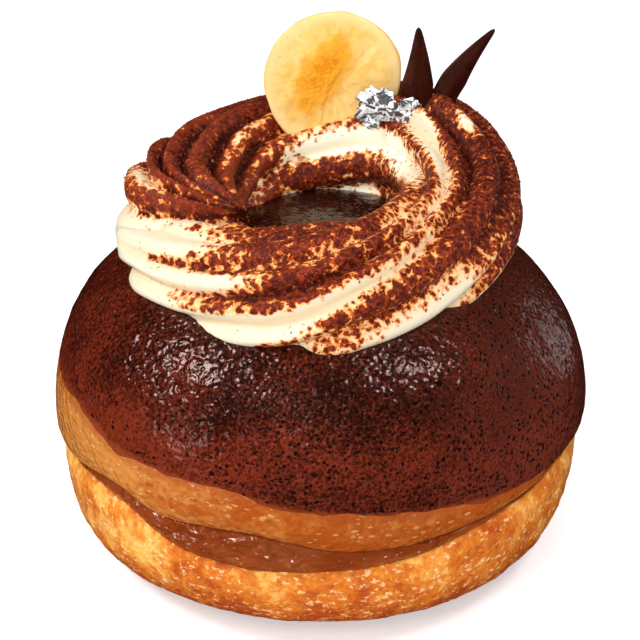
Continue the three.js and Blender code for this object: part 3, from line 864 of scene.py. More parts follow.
def fillingProfile(angle):
    degrees = math.degrees(angle)
    low = float(rimAt("crustRim", angle)) + bun["gap"]
    high = float(rimAt("topRim", angle)) - bun["gap"]
    edge = float(sideRadius(np.array(low)) + lump(angle, low)) - filling["inset"]
    edge += hills([filling["smear"]], degrees)
    run = hills(filling["runs"], degrees)
    share = np.linspace(0, 1, filling["rows"])
    heights = low - run + (high - low + run) * share
    sag = 0.5 * run * np.sin(math.pi * np.clip(share * 1.6, 0, 1))
    radii = edge + filling["bulge"] * np.sin(math.pi * share) + sag
    under = np.linspace(0, edge - 0.6, filling["faceRows"])[:-1]
    over = np.linspace(edge - 0.4, 0, filling["faceRows"])[1:]
    underHeights = faceHeights(bun["crustCentre"] + bun["gap"], low, under / edge)
    overHeights = faceHeights(bun["topCentre"] - bun["gap"], high, over / edge)
    return np.concatenate([under, radii, over]), np.concatenate([underHeights, heights, overHeights])


caramelLayer = revolve("caramelLayer", filling["sectors"], fillingProfile, pasteMaterial)
places, phi = placesOf(caramelLayer)
crests = 0.25 + np.clip(hills(filling["crests"], np.degrees(phi)), 0, 1)
aboveCrust = 0.15 + 0.85 * smoothStep(places[:, 2] - rimAt("crustRim", phi), 0.3, 1.8)
nearEdge = smoothStep(np.hypot(places[:, 0], places[:, 1]), 44, 47)
setAttribute(caramelLayer, "relief", crests * aboveCrust * nearEdge)
runTree(caramelLayer, reliefTree, filling["relief"])

print("dough top and glaze")

dough = {
    "sectors": 480, "samples": 400, "crowding": 1.15, "rows": 110, "faceRows": 10, "sunk": 0.4,
    "relief": {"Lump Size": 10 * mm, "Lump Height": 0.3 * mm, "Pebble Size": 2.6 * mm,
               "Pebble Height": 0.14 * mm, "Flatten": 1.4, "Seed": 9.0, "Material": doughMaterial},
}
glaze = {
    "sectors": 480, "outerRows": 150, "innerRows": 40, "thickness": 0.85, "edgeThickness": 0.1,
    "rounding": 0.3, "roundingHeight": 0.9,
    "rippleSeed": 31, "ripples": [(9, 0.25), (17, 0.22), (31, 0.16), (53, 0.1)],
    "relief": {"Lump Size": 10 * mm, "Lump Height": 0.3 * mm, "Pebble Size": 3.4 * mm,
               "Pebble Height": 0.24 * mm, "Flatten": 1.4, "Seed": 9.0, "Material": glazeMaterial},
}


def topProfile(angle):
    rim = float(rimAt("topRim", angle))
    crowded = 1 - (1 - np.linspace(0, 1, dough["samples"])) ** dough["crowding"]
    heights = rim + (bun["top"] - rim) * np.sin(crowded * math.pi / 2)
    side = np.where(heights < bun["waistHeight"], bun["waistRadius"], sideRadius(heights))
    return side + lump(angle, heights) - lipInset(bun["topLip"], heights - rim), heights


def glazeEdgeAt(angle):
    ripple = waver(np.array([angle]), glaze["rippleSeed"], glaze["ripples"])
    return float(rimAt("glazeRim", angle)) + float(ripple[0])


def sunkProfile(radii, heights, depth):
    outR, outH = np.gradient(heights), -np.gradient(radii)
    size = np.maximum(np.hypot(outR, outH), 1e-9)
    radii = np.clip(radii - depth * outR / size, 0, None)
    radii[-1] = 0
    return radii, heights - depth * outH / size


def doughProfile(angle):
    radii, heights = evenRows(*topProfile(angle), dough["rows"])
    radii[-1] = 0
    edge = glazeEdgeAt(angle)
    radii, heights = sunkProfile(radii, heights, dough["sunk"] * smoothStep(heights, edge - 0.5, edge + 1.5))
    under = np.linspace(0, radii[0], dough["faceRows"])[:-1]
    underHeights = faceHeights(bun["topCentre"], heights[0], under / radii[0])
    return np.concatenate([under, radii]), np.concatenate([underHeights, heights])


def glazeProfile(angle):
    radii, heights = topProfile(angle)
    edge = glazeEdgeAt(angle)
    kept = heights > edge
    radii, heights = evenRows(radii[kept], heights[kept], glaze["outerRows"])
    radii[-1] = 0
    depth = glaze["thickness"] * smoothStep(heights, edge - 1, edge + 2) + glaze["edgeThickness"]
    inner, innerHeights = sunkProfile(radii, heights, depth)
    inner, innerHeights = evenRows(inner[::-1], innerHeights[::-1], glaze["innerRows"])
    rounding = glaze["rounding"] * np.clip(1 - (heights - edge) / glaze["roundingHeight"], 0, 1) ** 2
    return np.concatenate([inner, radii - rounding]), np.concatenate([innerHeights, heights])


doughTop = revolve("doughTop", dough["sectors"], doughProfile, doughMaterial)
places, phi = placesOf(doughTop)
setAttribute(doughTop, "relief", smoothStep(places[:, 2], 18, 24))
setAttribute(doughTop, "stain", smoothStep(places[:, 2] - rimAt("glazeRim", phi), -2.4, 0.0))
runTree(doughTop, reliefTree, dough["relief"])

glazeCoat = revolve("glazeCoat", glaze["sectors"], glazeProfile, glazeMaterial)
places, phi = placesOf(glazeCoat)
thinTo = 2.0 + 2.4 * smoothStep(-np.sin(phi), 0.3, 1.0)
setAttribute(glazeCoat, "relief", np.ones(len(places)))
setAttribute(glazeCoat, "thin", 1 - smoothStep(places[:, 2] - rimAt("glazeRim", phi), -0.4, thinTo))
runTree(glazeCoat, reliefTree, glaze["relief"])

print("cream ring")

# the piped rope, in millimetres and degrees; ring angles run on past 360 into the tail
rope = {
    "stations": [  # ring angle, radius, height, half width, rise
        (164, 26, 64, 12, 5.5), (186, 26, 64, 12.2, 6), (208, 25.9, 63, 12.3, 7.5), (235, 26, 61, 12.4, 11),
        (270, 27.2, 62, 13.3, 13.3), (315, 25.2, 65.6, 12, 10.9), (360, 26.1, 68, 11.8, 11.5),
        (405, 27.7, 69.6, 11.8, 14.6), (450, 26.9, 67.7, 12.2, 14.6), (495, 26, 66.3, 12.3, 13),
        (540, 26.2, 65.8, 12.4, 12), (572, 26, 66, 12, 12)],
    # how far the section is turned and how its grooves crowd, in degrees by ring angle
    "turn": [(164, -100), (186, -58), (206, -33), (234, -8), (260, 9), (279, 30), (298, 49), (313, 64),
             (337, 78), (365, 92), (385, 101), (450, 102), (493, 106), (514, 118), (540, 125), (572, 135)],
    "crowdOutside": [(164, -15), (234, -20), (280, -31), (320, -33), (356, -28), (400, -18), (572, -10)],
    "crowdInside": [(164, 0), (485, 0), (515, 25), (540, 42), (572, 45)],
    "crowdTop": [(164, 0), (275, 0), (305, -18), (325, -18), (340, -9), (370, -9), (420, 0), (572, 0)],
    # the groove each crowding is strongest at, and how sharply
    "crowds": [("crowdOutside", 2.2, 3.0), ("crowdInside", -3.4, 4.0), ("crowdTop", -1.6, 6.0)],
    "bulbSpan": 24, "tailSpan": 32, "tailRadius": 16, "tailHeight": 70.5, "centre": (0.3, 0.5), "radius": 26,
    "grooveDepth": 2.1, "grooveSoftness": 0.2, "tailExtraDepth": 0.7, "tailSharpness": 0.12,
    "tailFrom": (460, 500), "deepGroove": (372, 26, 1.8),  # ring angle, half length, extra depth
    "joined": (186, 214), "intoDome": 1.2, "steps": 470,
    "tree": {"Sides": 177, "Grooves": 10.0, "Section Power": 2.3, "Below": 12.0, "Ripple Height": 0.07,
             "Lump Height": 0.3, "Unit": mm, "Material": creamMaterial},
}


# a line of points that carries the rope's measures along the ring
def addRopePath():
    first, last = rope["stations"][0][0], rope["stations"][-1][0]
    at = first + (last - first) * np.linspace(0, 1, rope["steps"])
    fromStart = np.clip((at - first) / rope["bulbSpan"], 0, 1)
    fromEnd = np.clip((last - at) / rope["tailSpan"], 0, 1)
    taper = np.sqrt(1 - (1 - fromEnd) ** 2)
    radius, height, halfWidth, rise = [
        cubicKeys([(s[0], s[k]) for s in rope["stations"]], at) for k in (1, 2, 3, 4)]
    inTail = smoothStep(at, *rope["tailFrom"])
    values = {
        "ringAngle": np.radians(at), "size": np.sqrt(1 - (1 - fromStart) ** 2) * taper,
        "middle": rope["tailRadius"] + (radius - rope["tailRadius"]) * taper,
        "height": rope["tailHeight"] + (height - rope["tailHeight"]) * taper,
        "halfWidth": halfWidth, "rise": rise,
        "deep": hills([rope["deepGroove"]], at),
        "depth": rope["grooveDepth"] + rope["tailExtraDepth"] * inTail,
        "softness": rope["grooveSoftness"] - rope["tailSharpness"] * inTail,
        "joined": 1 - smoothStep(at, *rope["joined"]),
        "along": np.radians(at - first) * rope["radius"],
    }
    for name in ("turn", "crowdOutside", "crowdInside", "crowdTop"):
        values[name] = cubicKeys(rope[name], at)
    path = addPiece("creamRing", [(0, 0, k * mm) for k in range(rope["steps"])], [])
    for name, array in values.items():
        setAttribute(path, name, array)
    return path


def buildRopeTree():
    tree, given, ends = newTree("pipedRope", [
        ("Sides", "Int", 160), ("Grooves", "Float", 10.0), ("Section Power", "Float", 2.3),
        ("Below", "Float", 12.0), ("Ripple Height", "Float", 0.12), ("Lump Height", "Float", 0.25),
        ("Unit", "Float", 0.001)])
    path = given["Geometry"]
    count = addNode(tree, "GeometryNodeAttributeDomainSize", {"Geometry": path}).outputs["Point Count"]
    grid = addNode(tree, "GeometryNodeMeshGrid", {
        "Size X": 1.0, "Size Y": 1.0, "Vertices X": count, "Vertices Y": given["Sides"]}).outputs[0]
    lengthwise, around, _ = axesOf(tree, tree.nodes.new("GeometryNodeInputPosition").outputs[0])
    index = sums(tree, "ROUND", times(tree, plus(tree, lengthwise, 0.5), minus(tree, count, 1.0)))

    def fromPath(name):
        values = {0: path, "Value": carried(tree, name), "Index": index}
        return addNode(tree, "GeometryNodeSampleIndex", values, data_type="FLOAT", domain="POINT").outputs[0]

    # the angle round the section turns along the rope and crowds in places
    grooves = given["Grooves"]
    groove = minus(tree, times(tree, plus(tree, around, 0.5), grooves), times(tree, grooves, 0.5))
    angle = sums(tree, "MULTIPLY_ADD", groove, sums(tree, "DIVIDE", 360.0, grooves), fromPath("turn"))
    for name, place, sharpness in rope["crowds"]:
        swing = sums(tree, "DIVIDE", times(tree, minus(tree, groove, place), 2 * math.pi), grooves)
        near = sums(tree, "MULTIPLY_ADD", sums(tree, "COSINE", swing), 0.5, 0.5)
        angle = sums(tree, "MULTIPLY_ADD", sums(tree, "POWER", near, sharpness), fromPath(name), angle)
    angle = sums(tree, "RADIANS", angle)
    across, up = sums(tree, "COSINE", angle), sums(tree, "SINE", angle)
    power = given["Section Power"]
    spread = plus(tree, *[sums(tree, "POWER", sums(tree, "ABSOLUTE", side), power) for side in (across, up)])
    square = sums(tree, "POWER", spread, sums(tree, "DIVIDE", -1.0, power))

    # round lobes with a sharp groove between them
    wave = sums(tree, "SINE", times(tree, groove, math.pi))
    soft = fromPath("softness")
    bulge = sums(tree, "SQRT", sums(tree, "MULTIPLY_ADD", wave, wave, times(tree, soft, soft)))
    most = sums(tree, "SQRT", sums(tree, "MULTIPLY_ADD", soft, soft, 1.0))
    inGroove = sums(tree, "DIVIDE", minus(tree, most, bulge), minus(tree, most, soft))
    isDeep = sums(tree, "LESS_THAN", sums(tree, "ABSOLUTE", groove), 0.5)
    depth = sums(tree, "MULTIPLY_ADD", isDeep, fromPath("deep"), fromPath("depth"))
    nearJoin = ramp(tree, sums(tree, "ABSOLUTE", minus(tree, groove, 2.0)), 0.5, 0.3)
    depth = times(tree, depth, minus(tree, 1.0, times(tree, nearJoin, fromPath("joined"))))
    halfWidth = fromPath("halfWidth")
    cut = sums(tree, "DIVIDE", times(tree, inGroove, depth), halfWidth)
    reach = times(tree, fromPath("size"), square, minus(tree, 1.0, cut))

    # place on the ring
    outward = sums(tree, "MULTIPLY_ADD", times(tree, reach, halfWidth), across, fromPath("middle"))
    isUp = sums(tree, "GREATER_THAN", up, 0.0)
    isDown = minus(tree, 1.0, isUp)
    tall = weighted(tree, (isUp, fromPath("rise")), (isDown, given["Below"]))
    rise = sums(tree, "MULTIPLY_ADD", times(tree, reach, tall), up, fromPath("height"))
    ring = fromPath("ringAngle")
    x, y = [sums(tree, "MULTIPLY_ADD", sums(tree, wave, ring), outward, centre)
            for wave, centre in zip(("COSINE", "SINE"), rope["centre"])]
    # the underside follows the dome
    bunReach = sums(tree, "SQRT", plus(tree, times(tree, x, x), times(tree, y, y)))
    share = sums(tree, "MINIMUM", 1.0, sums(tree, "DIVIDE", bunReach, bun["waistRadius"]))
    dome = minus(tree, 1.0, sums(tree, "POWER", share, bun["domePower"]))
    dome = sums(tree, "POWER", dome, 1 / bun["domePower"])
    dome = sums(tree, "MULTIPLY_ADD", dome, bun["domeHeight"], bun["waistHeight"] - rope["intoDome"])
    rise = sums(tree, "MAXIMUM", rise, dome)
    spot = addNode(tree, "ShaderNodeCombineXYZ", {0: x, 1: y, 2: rise}).outputs[0]
    inSection = [times(tree, reach, halfWidth, side) for side in (across, up)]
    ropeSpace = addNode(tree, "ShaderNodeCombineXYZ", {
        0: fromPath("along"), 1: inSection[0], 2: inSection[1]}).outputs[0]

    made = grid
    for name, value, kind in (
            ("ropeSpace", scaled(tree, ropeSpace, given["Unit"]), "FLOAT_VECTOR"),
            ("ringAngle", ring, "FLOAT"), ("groove", groove, "FLOAT"),
            ("spot", scaled(tree, spot, given["Unit"]), "FLOAT_VECTOR")):
        made = addNode(tree, "GeometryNodeStoreNamedAttribute", {
            "Geometry": made, "Name": name, "Value": value}, data_type=kind, domain="POINT").outputs[0]
    made = addNode(tree, "GeometryNodeSetPosition", {
        "Geometry": made, "Position": carried(tree, "spot", "FLOAT_VECTOR")}).outputs[0]
    made = addNode(tree, "GeometryNodeMergeByDistance", {"Geometry": made, "Distance": 0.00001}).outputs[0]
    # drawn-out ripples along the rope, soft lumps over it
    inRope = carried(tree, "ropeSpace", "FLOAT_VECTOR")
    ripple = noiseAt(tree, vectors(tree, "MULTIPLY", inRope, (0.16, 1.0, 1.0)), 1 / 900, 2.0)
    lumps = noiseAt(tree, vectors(tree, "MULTIPLY", inRope, (0.5, 1.0, 1.0)), 1 / 190, 2.0)
    push = plus(tree, offCentre(tree, ripple, given["Ripple Height"]),
                offCentre(tree, lumps, given["Lump Height"]))
    made = pushOut(tree, made, times(tree, push, times(tree, given["Unit"], 2.0)))
    made = addNode(tree, "GeometryNodeSetShadeSmooth", {"Geometry": made}).outputs[0]
    return closeTree(tree, made, given["Material"], ends)


creamRing = addRopePath()
runTree(creamRing, buildRopeTree(), rope["tree"])
print("  cream ring faces", len(creamRing.data.polygons))

# the sieve covers the ring but for clean patches and what lies under an overhang
dusting = {
    "cover": 0.92, "tailExtra": 0.24, "tailFrom": (470, 500), "sheltered": (-0.5, 0.0),
    "wiped": (0.3, 0.12, 0.3),  # place across a groove, half width, how much
    "bare": 0.3, "bareBelow": (0.04, 0.32), "rightExtra": 0.14,
    "strokes": [(223, 2.02, 16, 0.16, 0.95), (240, 1.9, 12, 0.2, 0.8), (259, -0.75, 9, 0.22, 0.75)],
    "cleanPatches": [  # ring angle, groove, half lengths along both, how clean
        (202, 0.77, 32, 2.5, 0.98), (251, -0.86, 21, 1.1, 0.98), (300, -1.74, 31, 0.82, 0.9),
        (250, 0.09, 62, 0.39, 1.0), (328, 0.9, 25, 0.43, 0.72), (387, 0.89, 20, 0.46, 1.0),
        (358, 1.22, 22, 0.3, 0.93), (423, 1.84, 58, 0.32, 1.0), (369, 2.24, 37, 0.3, 0.86),
        (275, 0.27, 9, 0.57, 0.36), (452, 1.48, 43, 0.5, 0.5), (307, 1.49, 14, 1.4, 0.46),
        (233, 1.51, 18, 0.44, 1.0), (380, -0.45, 9, 0.24, 0.8), (202, 2.77, 40, 0.54, 1.0),
        (275, 1.88, 37, 0.36, 0.3), (544, -3.2, 22, 0.36, 0.74), (540, -4.45, 38, 0.45, 0.95),
        (548, -4.1, 28, 0.2, 0.6), (198, 3.75, 34, 0.45, 0.8), (494, 0.5, 28, 0.3, 0.52),
        (443, 3.25, 40, 0.35, 0.95), (480, 2.75, 14, 0.2, 0.7), (500, 2.05, 12, 0.25, 0.6)],
}


def dustCream(piece):
    normals = np.zeros(len(piece.data.vertices) * 3, np.float32)
    piece.data.vertices.foreach_get("normal", normals)
    up = normals.reshape(-1, 3)[:, 2]
    ring = np.degrees(getAttribute(piece, "ringAngle"))
    groove = getAttribute(piece, "groove")

    def patch(angle, place, length, width, strength):
        away = ((ring - angle) / length) ** 2 + ((groove - place) / width) ** 2
        return strength * np.exp(-away ** 1.5)

    cover = np.full(len(up), dusting["cover"])
    for clean in dusting["cleanPatches"]:
        cover *= 1 - patch(*clean)
    for stroke in dusting["strokes"]:
        cover = np.maximum(cover, patch(*stroke))
    # thin cover goes below nothing, so clean lobes stay clean
    cover -= dusting["bare"] * (1 - smoothStep(cover, *dusting["bareBelow"]))
    onRight = (smoothStep(ring, 318, 342) * (1 - smoothStep(ring, 385, 410))
               * (1 - smoothStep(groove, 0.6, 1.0)) * smoothStep(groove, -1.5, -0.9))
    cover += dusting["rightExtra"] * onRight * smoothStep(cover, 0.2, 0.6)
    underBack = smoothStep(ring, 400, 430) * smoothStep(-groove, 1.2, 1.6) * (1 - smoothStep(ring, 490, 515))
    hidden = np.maximum(smoothStep(-groove, 1.8, 2.4), underBack)
    cover *= 1 - hidden * (1 - smoothStep(up, *dusting["sheltered"]))
    tail = smoothStep(ring, *dusting["tailFrom"])
    cover += dusting["tailExtra"] * tail * cover
    # the tail's ridges are wiped thin along one side of each crest
    wipedAt, wipedWidth, wiped = dusting["wiped"]
    cover -= wiped * np.exp(-((np.mod(groove, 1) - wipedAt) / wipedWidth) ** 2) * tail
    inGroove = 1 - np.abs(np.sin(math.pi * groove))
    # the inner wall over the hole, where the painted light and the painted glow go
    innerPaintedLight = smoothStep(groove, 1.35, 1.7) * smoothStep(ring, 360, 400) * (1 - smoothStep(ring, 480, 510))
    found = {
        "cocoa": cover, "innerPaintedLight": innerPaintedLight,
        "packed": tail * (1 - smoothStep(ring, 530, 565) * 0.4),
        # cocoa piles deeper in the grooves, and the grooves also carry painted shade, most on the tail
        "thickness": 0.35 * inGroove ** 1.5 + 0.75 * tail * inGroove ** 1.3 - 0.2 * tail + 0.1 * onRight,
        # painted shade in the grooves, kept off the inner wall
        "paintedGrooveShade": np.clip(0.55 * inGroove ** 1.5 * (1 - innerPaintedLight), 0, 1),
        "strands": smoothStep(ring, 312, 340) * (1 - smoothStep(ring, 395, 420)),
    }
    for name, values in found.items():
        setAttribute(piece, name, values)


dustCream(creamRing)

print("toppings")

banana = {
    "radius": 13.45, "backRadius": 11.8, "thickness": 5.0, "at": (2.15, 22.3, 85.95), "turn": 13, "lean": 5,
    "sectors": 150, "faceRows": 34, "dent": 0.25,
    "lobes": [(3, 0.6, 0.012), (5, 0, 0.006)],  # count, shift, size
    "seed": 5, "ripples": [(7, 0.004), (11, 0.003), (17, 0.0025)],
}


def placeSlice(points):
    lean, turn = math.radians(-banana["lean"]), math.radians(banana["turn"])
    x, y, z = points[:, 0], points[:, 1], points[:, 2]
    y, z = y * math.cos(lean) - z * math.sin(lean), y * math.sin(lean) + z * math.cos(lean)
    x, y = x * math.cos(turn) - y * math.sin(turn), x * math.sin(turn) + y * math.cos(turn)
    return np.stack([x, y, z], -1) + banana["at"]


def addBanana():
    half, radius, back = banana["thickness"] / 2, banana["radius"], banana["backRadius"]
    shares = np.linspace(0, 1, banana["faceRows"])
    front = [(s * (radius - 0.35), -half) for s in shares]
    side = [(radius - 0.1, 0.12 - half), (radius, 0.4 - half)]
    for t in (0.25, 0.5, 0.75, 1.0):
        side.append((radius + (back - radius) * t ** 1.4, 0.4 - half + (2 * half - 1.0) * t))
    side += [(back - 0.25, half - 0.25)]
    rear = [(s * (back - 0.7), half) for s in shares[::-1]]
    profile = np.array(front + side + rear)
    count, span = banana["sectors"], len(profile) - 2
    turns = np.linspace(0, 2 * math.pi, count, endpoint=False)
    swell = 1
    for lobes, shift, size in banana["lobes"]:
        swell = swell + size * np.sin(lobes * turns + shift)
    swell = swell + waver(turns, banana["seed"], banana["ripples"])
    radii, depths = profile[1:-1, 0], profile[1:-1, 1]
    x = np.outer(swell * np.cos(turns), radii)
    z = np.outer(swell * np.sin(turns), radii)
    y = np.tile(depths, (count, 1))
    points = np.stack([x, y, z], -1).reshape(-1, 3)
    # both cut faces are dented, but not their rims
    reach = np.hypot(points[:, 0], points[:, 2])
    spots = points * (0.28, 0.1, 0.28) + (0, 3, 0)
    dents = banana["dent"] * np.abs([noise.fractal(Vector(spot), 1.0, 2.0, 4) for spot in spots])
    onFace = np.abs(points[:, 1]) > half - 0.05
    points[:, 1] -= dents * np.sign(points[:, 1]) * onFace * smoothStep(radius - reach, 0.0, 3.0)
    points = np.vstack([points, [0, profile[0, 1], 0], [0, profile[-1, 1], 0]])
    faces = closedFaces(count, span, lambda i, k: i * span + k)
    faces = [(face[0], *face[:0:-1]) for face in faces]  # turned to point outwards
    piece = addPiece("bananaSlice", placeSlice(points) * mm, faces, bananaMaterial)
    setAttribute(piece, "slice", points[:, [0, 2, 1]] * mm, "FLOAT_VECTOR")
    return piece


bananaSlice = addBanana()

shards = {
    "chocolateShardLeft": {
        "foot": (17.6, 19, 77), "tip": (18.8, 19.6, 97), "width": 6.4, "thickness": 2.6, "bow": 0.5,
        "seed": 2, "planes": (-60, -128, 20, 150, 90)},
    "chocolateShardRight": {
        "foot": (21.4, 19.8, 77.5), "tip": (33.3, 20.4, 96.4), "width": 5.2, "thickness": 2.2, "bow": -1.1,
        "seed": 6, "planes": (-50, -115, 25, 160, 95)},
}
blade = {"rows": 44, "sides": 40, "planeDepths": (0.72, 0.95), "planeSway": 14}


def addShard(name, size):
    foot, tip = Vector(size["foot"]), Vector(size["tip"])
    axis = tip - foot
    through = Vector((0, 1, 0))
    across = through.cross(axis).normalized()
    rows, sides = blade["rows"], blade["sides"]
    turns = np.linspace(0, 2 * math.pi, sides, endpoint=False)
    dice = np.random.default_rng(size["seed"])
    # a few flat planes knapped round the blade, joined by ridges
    planes = [(angle, dice.uniform(*blade["planeDepths"])) for angle in size["planes"]]
    points = []
    for k in range(1, rows):
        share = k / rows
        taper = min(1, (1.06 - share) / 0.62) ** 0.85 * min(1, (share + 0.55) / 0.8) ** 0.6
        nib = min(1, share / 0.04) ** 0.5 * min(1, (1 - share) / 0.03) ** 0.5
        bend = size["bow"] * math.sin(math.pi * share)
        for turn in turns:
            away = 1.0
            for angle, keep in planes:
                sway = blade["planeSway"] * math.sin(2.2 * share + angle)
                face = math.cos(turn - math.radians(angle + sway))
                if face > 0:
                    away = min(away, keep / face)
            side = math.cos(turn) * size["width"] / 2 * taper * nib * away
            deep = math.sin(turn) * size["thickness"] / 2 * taper * nib * away
            points.append(foot + axis * share + across * (side + bend) + through * deep)
    points += [foot, tip]
    faces = closedFaces(sides, rows - 1, lambda i, k: k * sides + i)
    return addPiece(name, [tuple(p * mm) for p in points], faces, chocolateMaterial)


shardPieces = {name: addShard(name, size) for name, size in shards.items()}

# the larger pinch has a small flake beside it
leaves = {
    "silverPinchLarge": [
        {"at": (10.9, 15.1, 82.9), "size": (4.6, 2.3, 3.9), "seed": 5, "crumple": 0.42, "crease": 1.9},
        {"at": (9.9, 13.0, 80.2), "size": (2.0, 1.0, 1.6), "seed": 21, "crumple": 0.4, "crease": 1.4}],
    "silverPinchSmall": [
        {"at": (17.2, 15.2, 81.7), "size": (3.2, 1.8, 3.0), "seed": 11, "crumple": 0.42, "crease": 1.9}],
}
foil = {
    "fold": 0.45, "cells": 1.3, "cellShift": 0.4,
    # painted reflection: how dark and how varied the facets are painted
    "facets": 2.8, "facetShade": (0.38, 0.75),  # darkest facet, how much lighter the lightest is
}


def addLeaf(name, pinches):
    points, faces, facets = [], [], []
    for size in pinches:
        dice = np.random.default_rng(size["seed"])
        shift = Vector(dice.uniform(-20, 20, 3).tolist())
        crease, crumple = size["crease"], size["crumple"]
        ball = bmesh.new()
        bmesh.ops.create_icosphere(ball, subdivisions=4, radius=1.0)
        start = len(points)
        for v in ball.verts:
            fold = noise.ridged_multi_fractal(v.co * crease + shift, 1.0, 2.2, 3, 1.0, 2.0)
            cell = noise.cell_vector(v.co * crease * foil["cells"] + shift) - Vector((0.5, 0.5, 0.5))
            bent = v.co * (1 - crumple + foil["fold"] * crumple * fold) + cell * foil["cellShift"]
            points.append([(size["at"][k] + bent[k] * size["size"][k]) * mm for k in range(3)])
        for face in ball.faces:
            faces.append([start + v.index for v in face.verts])
            # each facet's painted reflection, shared by the faces in one cell
            cell = noise.cell(face.calc_center_median() * crease * foil["facets"] + shift * 2)
            facets.append(foil["facetShade"][0] + foil["facetShade"][1] * cell)
        ball.free()
    piece = addPiece(name, points, faces, foilMaterial)
    piece.data.shade_flat()
    setAttribute(piece, "facetReflection", facets, domain="FACE")
    return piece


leafPieces = {name: addLeaf(name, pinches) for name, pinches in leaves.items()}

print("cocoa grains")

grains = {
    "Density": 1.05e6, "Threshold": 0.3, "Smallest": 0.12 * mm, "Largest": 0.3 * mm, "Seed": 4,
    "Material": cocoaMaterial,
}


def buildGrainTree():
    tree, given, ends = newTree("cocoaScatter", [
        ("Density", "Float", 1000.0), ("Threshold", "Float", 0.3), ("Smallest", "Float", 0.0001),
        ("Largest", "Float", 0.0003), ("Seed", "Int", 1)])
    patchy = noiseAt(tree, tree.nodes.new("GeometryNodeInputPosition").outputs[0], 1 / 800, 3.0)
    share = plus(tree, carried(tree, "cocoa"), offCentre(tree, patchy, 1.7))
    share = ramp(tree, share, given["Threshold"], plus(tree, given["Threshold"], 0.5))
    density = times(tree, share, given["Density"])
    points = addNode(tree, "GeometryNodeDistributePointsOnFaces", {
        "Mesh": given["Geometry"], "Density": density, "Seed": given["Seed"]}).outputs[0]
    crumb = addNode(tree, "GeometryNodeMeshIcoSphere", {"Radius": 1.0, "Subdivisions": 1}).outputs[0]
    size = addNode(tree, "FunctionNodeRandomValue", {
        "Min": given["Smallest"], "Max": given["Largest"], "Seed": given["Seed"]}, data_type="FLOAT")

    def anyVector(low, high):
        limits = {"Min": low, "Max": high}
        return addNode(tree, "FunctionNodeRandomValue", limits, data_type="FLOAT_VECTOR").outputs[0]

    spin = anyVector((0, 0, 0), (6.28, 6.28, 6.28))
    squash = anyVector((0.7, 0.6, 0.4), (1.2, 1.0, 0.8))
    placed = addNode(tree, "GeometryNodeInstanceOnPoints", {
        "Points": points, "Instance": crumb, "Rotation": spin,
        "Scale": scaled(tree, squash, pickSocket(size.outputs, "Value"))}).outputs[0]
    return closeTree(tree, placed, given["Material"], ends)


cocoaGrains = bpy.data.objects.new("cocoaGrains", creamRing.data.copy())
bpy.context.scene.collection.objects.link(cocoaGrains)
runTree(cocoaGrains, buildGrainTree(), grains)
print("  grain faces", len(cocoaGrains.data.polygons))

print("frame")

parts = [
    (crustBase, "crust", ["bun_base"]), (caramelLayer, "caramel", ["caramel_filling"]),
    (doughTop, "glazed_dough", ["bun_top"]), (glazeCoat, "glazed_dough", []),
    (creamRing, "cream", ["cream_ring"]), (cocoaGrains, "cream", []),
    (bananaSlice, "banana", ["banana_slice"]),
    (shardPieces["chocolateShardLeft"], "chocolate", ["chocolate_shard_1"]),
    (shardPieces["chocolateShardRight"], "chocolate", ["chocolate_shard_2"]),
    (leafPieces["silverPinchLarge"], "silver_leaf", ["silver_leaf_1"]),
    (leafPieces["silverPinchSmall"], "silver_leaf", ["silver_leaf_2"]),
]
for piece, slotName, nodes in parts:
    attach(piece, "root")
    if nodes:
        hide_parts(*nodes)

print("studio")

studio = {
    "lens": 145.83, "sensor": 36, "nearest": 0.01, "cameraAt": (0.00019, -0.44738, 0.25370), "tilt": 65.0,
    "sky": 0.36, "floor": 0.86, "floorGlow": 0.38, "floorReach": 3, "aimHeight": 0.045,
    "boxes": [  # azimuth from the front, elevation, distance, size, radiance, seen in the gloss
        (-72, 46, 0.55, 0.16, 24.0, True),
        (59, 55, 0.55, 0.13, 20.0, True),
        (-14, 36, 0.6, 0.05, 20.0, True),
        (-52, 6, 0.6, 0.1, 8.0, True),
        (128, 2, 0.6, 0.22, 1.0, True),
        (-8, 33, 0.9, 0.6, 2.6, False),
        (2, 12, 0.9, 0.5, 3.1, False),
        (180, 50, 0.8, 0.4, 1.6, False),
    ],
}


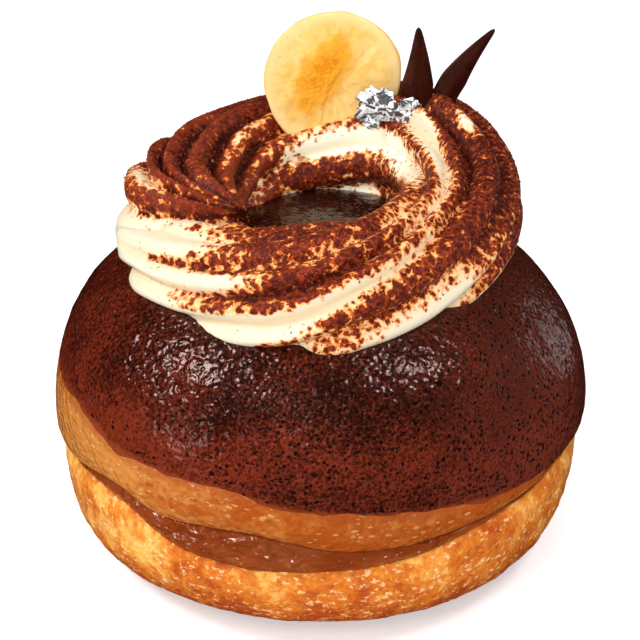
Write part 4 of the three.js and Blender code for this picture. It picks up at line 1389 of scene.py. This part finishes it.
def addCamera(scene):
    camera = bpy.data.objects.new("camera", bpy.data.cameras.new("camera"))
    camera.data.lens = studio["lens"]
    camera.data.sensor_width = studio["sensor"]
    camera.data.clip_start = studio["nearest"]
    camera.location = studio["cameraAt"]
    camera.rotation_euler = (math.radians(studio["tilt"]), 0, 0)
    scene.collection.objects.link(camera)
    scene.camera = camera


def addFloor():
    material, tree, shader = newMaterial("paleFloor", {
        "Base Color": (studio["floor"],) * 3 + (1,), "Roughness": 0.9, "Specular IOR Level": 0.1,
        "Emission Color": (1, 1, 1, 1)})
    seen = addNode(tree, "ShaderNodeLightPath").outputs["Is Camera Ray"]
    tree.links.new(times(tree, seen, studio["floorGlow"]), shader.inputs["Emission Strength"])
    far = studio["floorReach"]
    corners = [(-far, -far, 0), (far, -far, 0), (far, far, 0), (-far, far, 0)]
    floor = addPiece("floor", corners, [(0, 1, 2, 3)], material)
    floor.visible_glossy = False


def addSoftbox(scene, azimuth, elevation, distance, size, radiance, inGloss):
    a, e = math.radians(azimuth), math.radians(elevation)
    toward = Vector((math.sin(a) * math.cos(e), -math.cos(a) * math.cos(e), math.sin(e)))
    lamp = bpy.data.lights.new("softbox", "AREA")
    lamp.shape = "SQUARE"
    lamp.size = size
    lamp.energy = radiance * math.pi * size * size
    box = bpy.data.objects.new("softbox", lamp)
    box.location = toward * distance + Vector((0, 0, studio["aimHeight"]))
    box.rotation_euler = toward.to_track_quat("Z", "Y").to_euler()
    box.visible_glossy = inGloss
    scene.collection.objects.link(box)


def addSky(scene):
    world = bpy.data.worlds.new("studio")
    world.use_nodes = True
    tree = world.node_tree
    tree.nodes.clear()
    sky = addNode(tree, "ShaderNodeBackground", {"Color": (1, 1, 1, 1), "Strength": studio["sky"]})
    tree.links.new(sky.outputs[0], tree.nodes.new("ShaderNodeOutputWorld").inputs[0])
    world.cycles_visibility.glossy = False
    scene.world = world
    scene.view_settings.view_transform = "Standard"
    scene.view_settings.look = "None"


addCamera(bpy.context.scene)
addFloor()
for box in studio["boxes"]:
    addSoftbox(bpy.context.scene, *box)
addSky(bpy.context.scene)
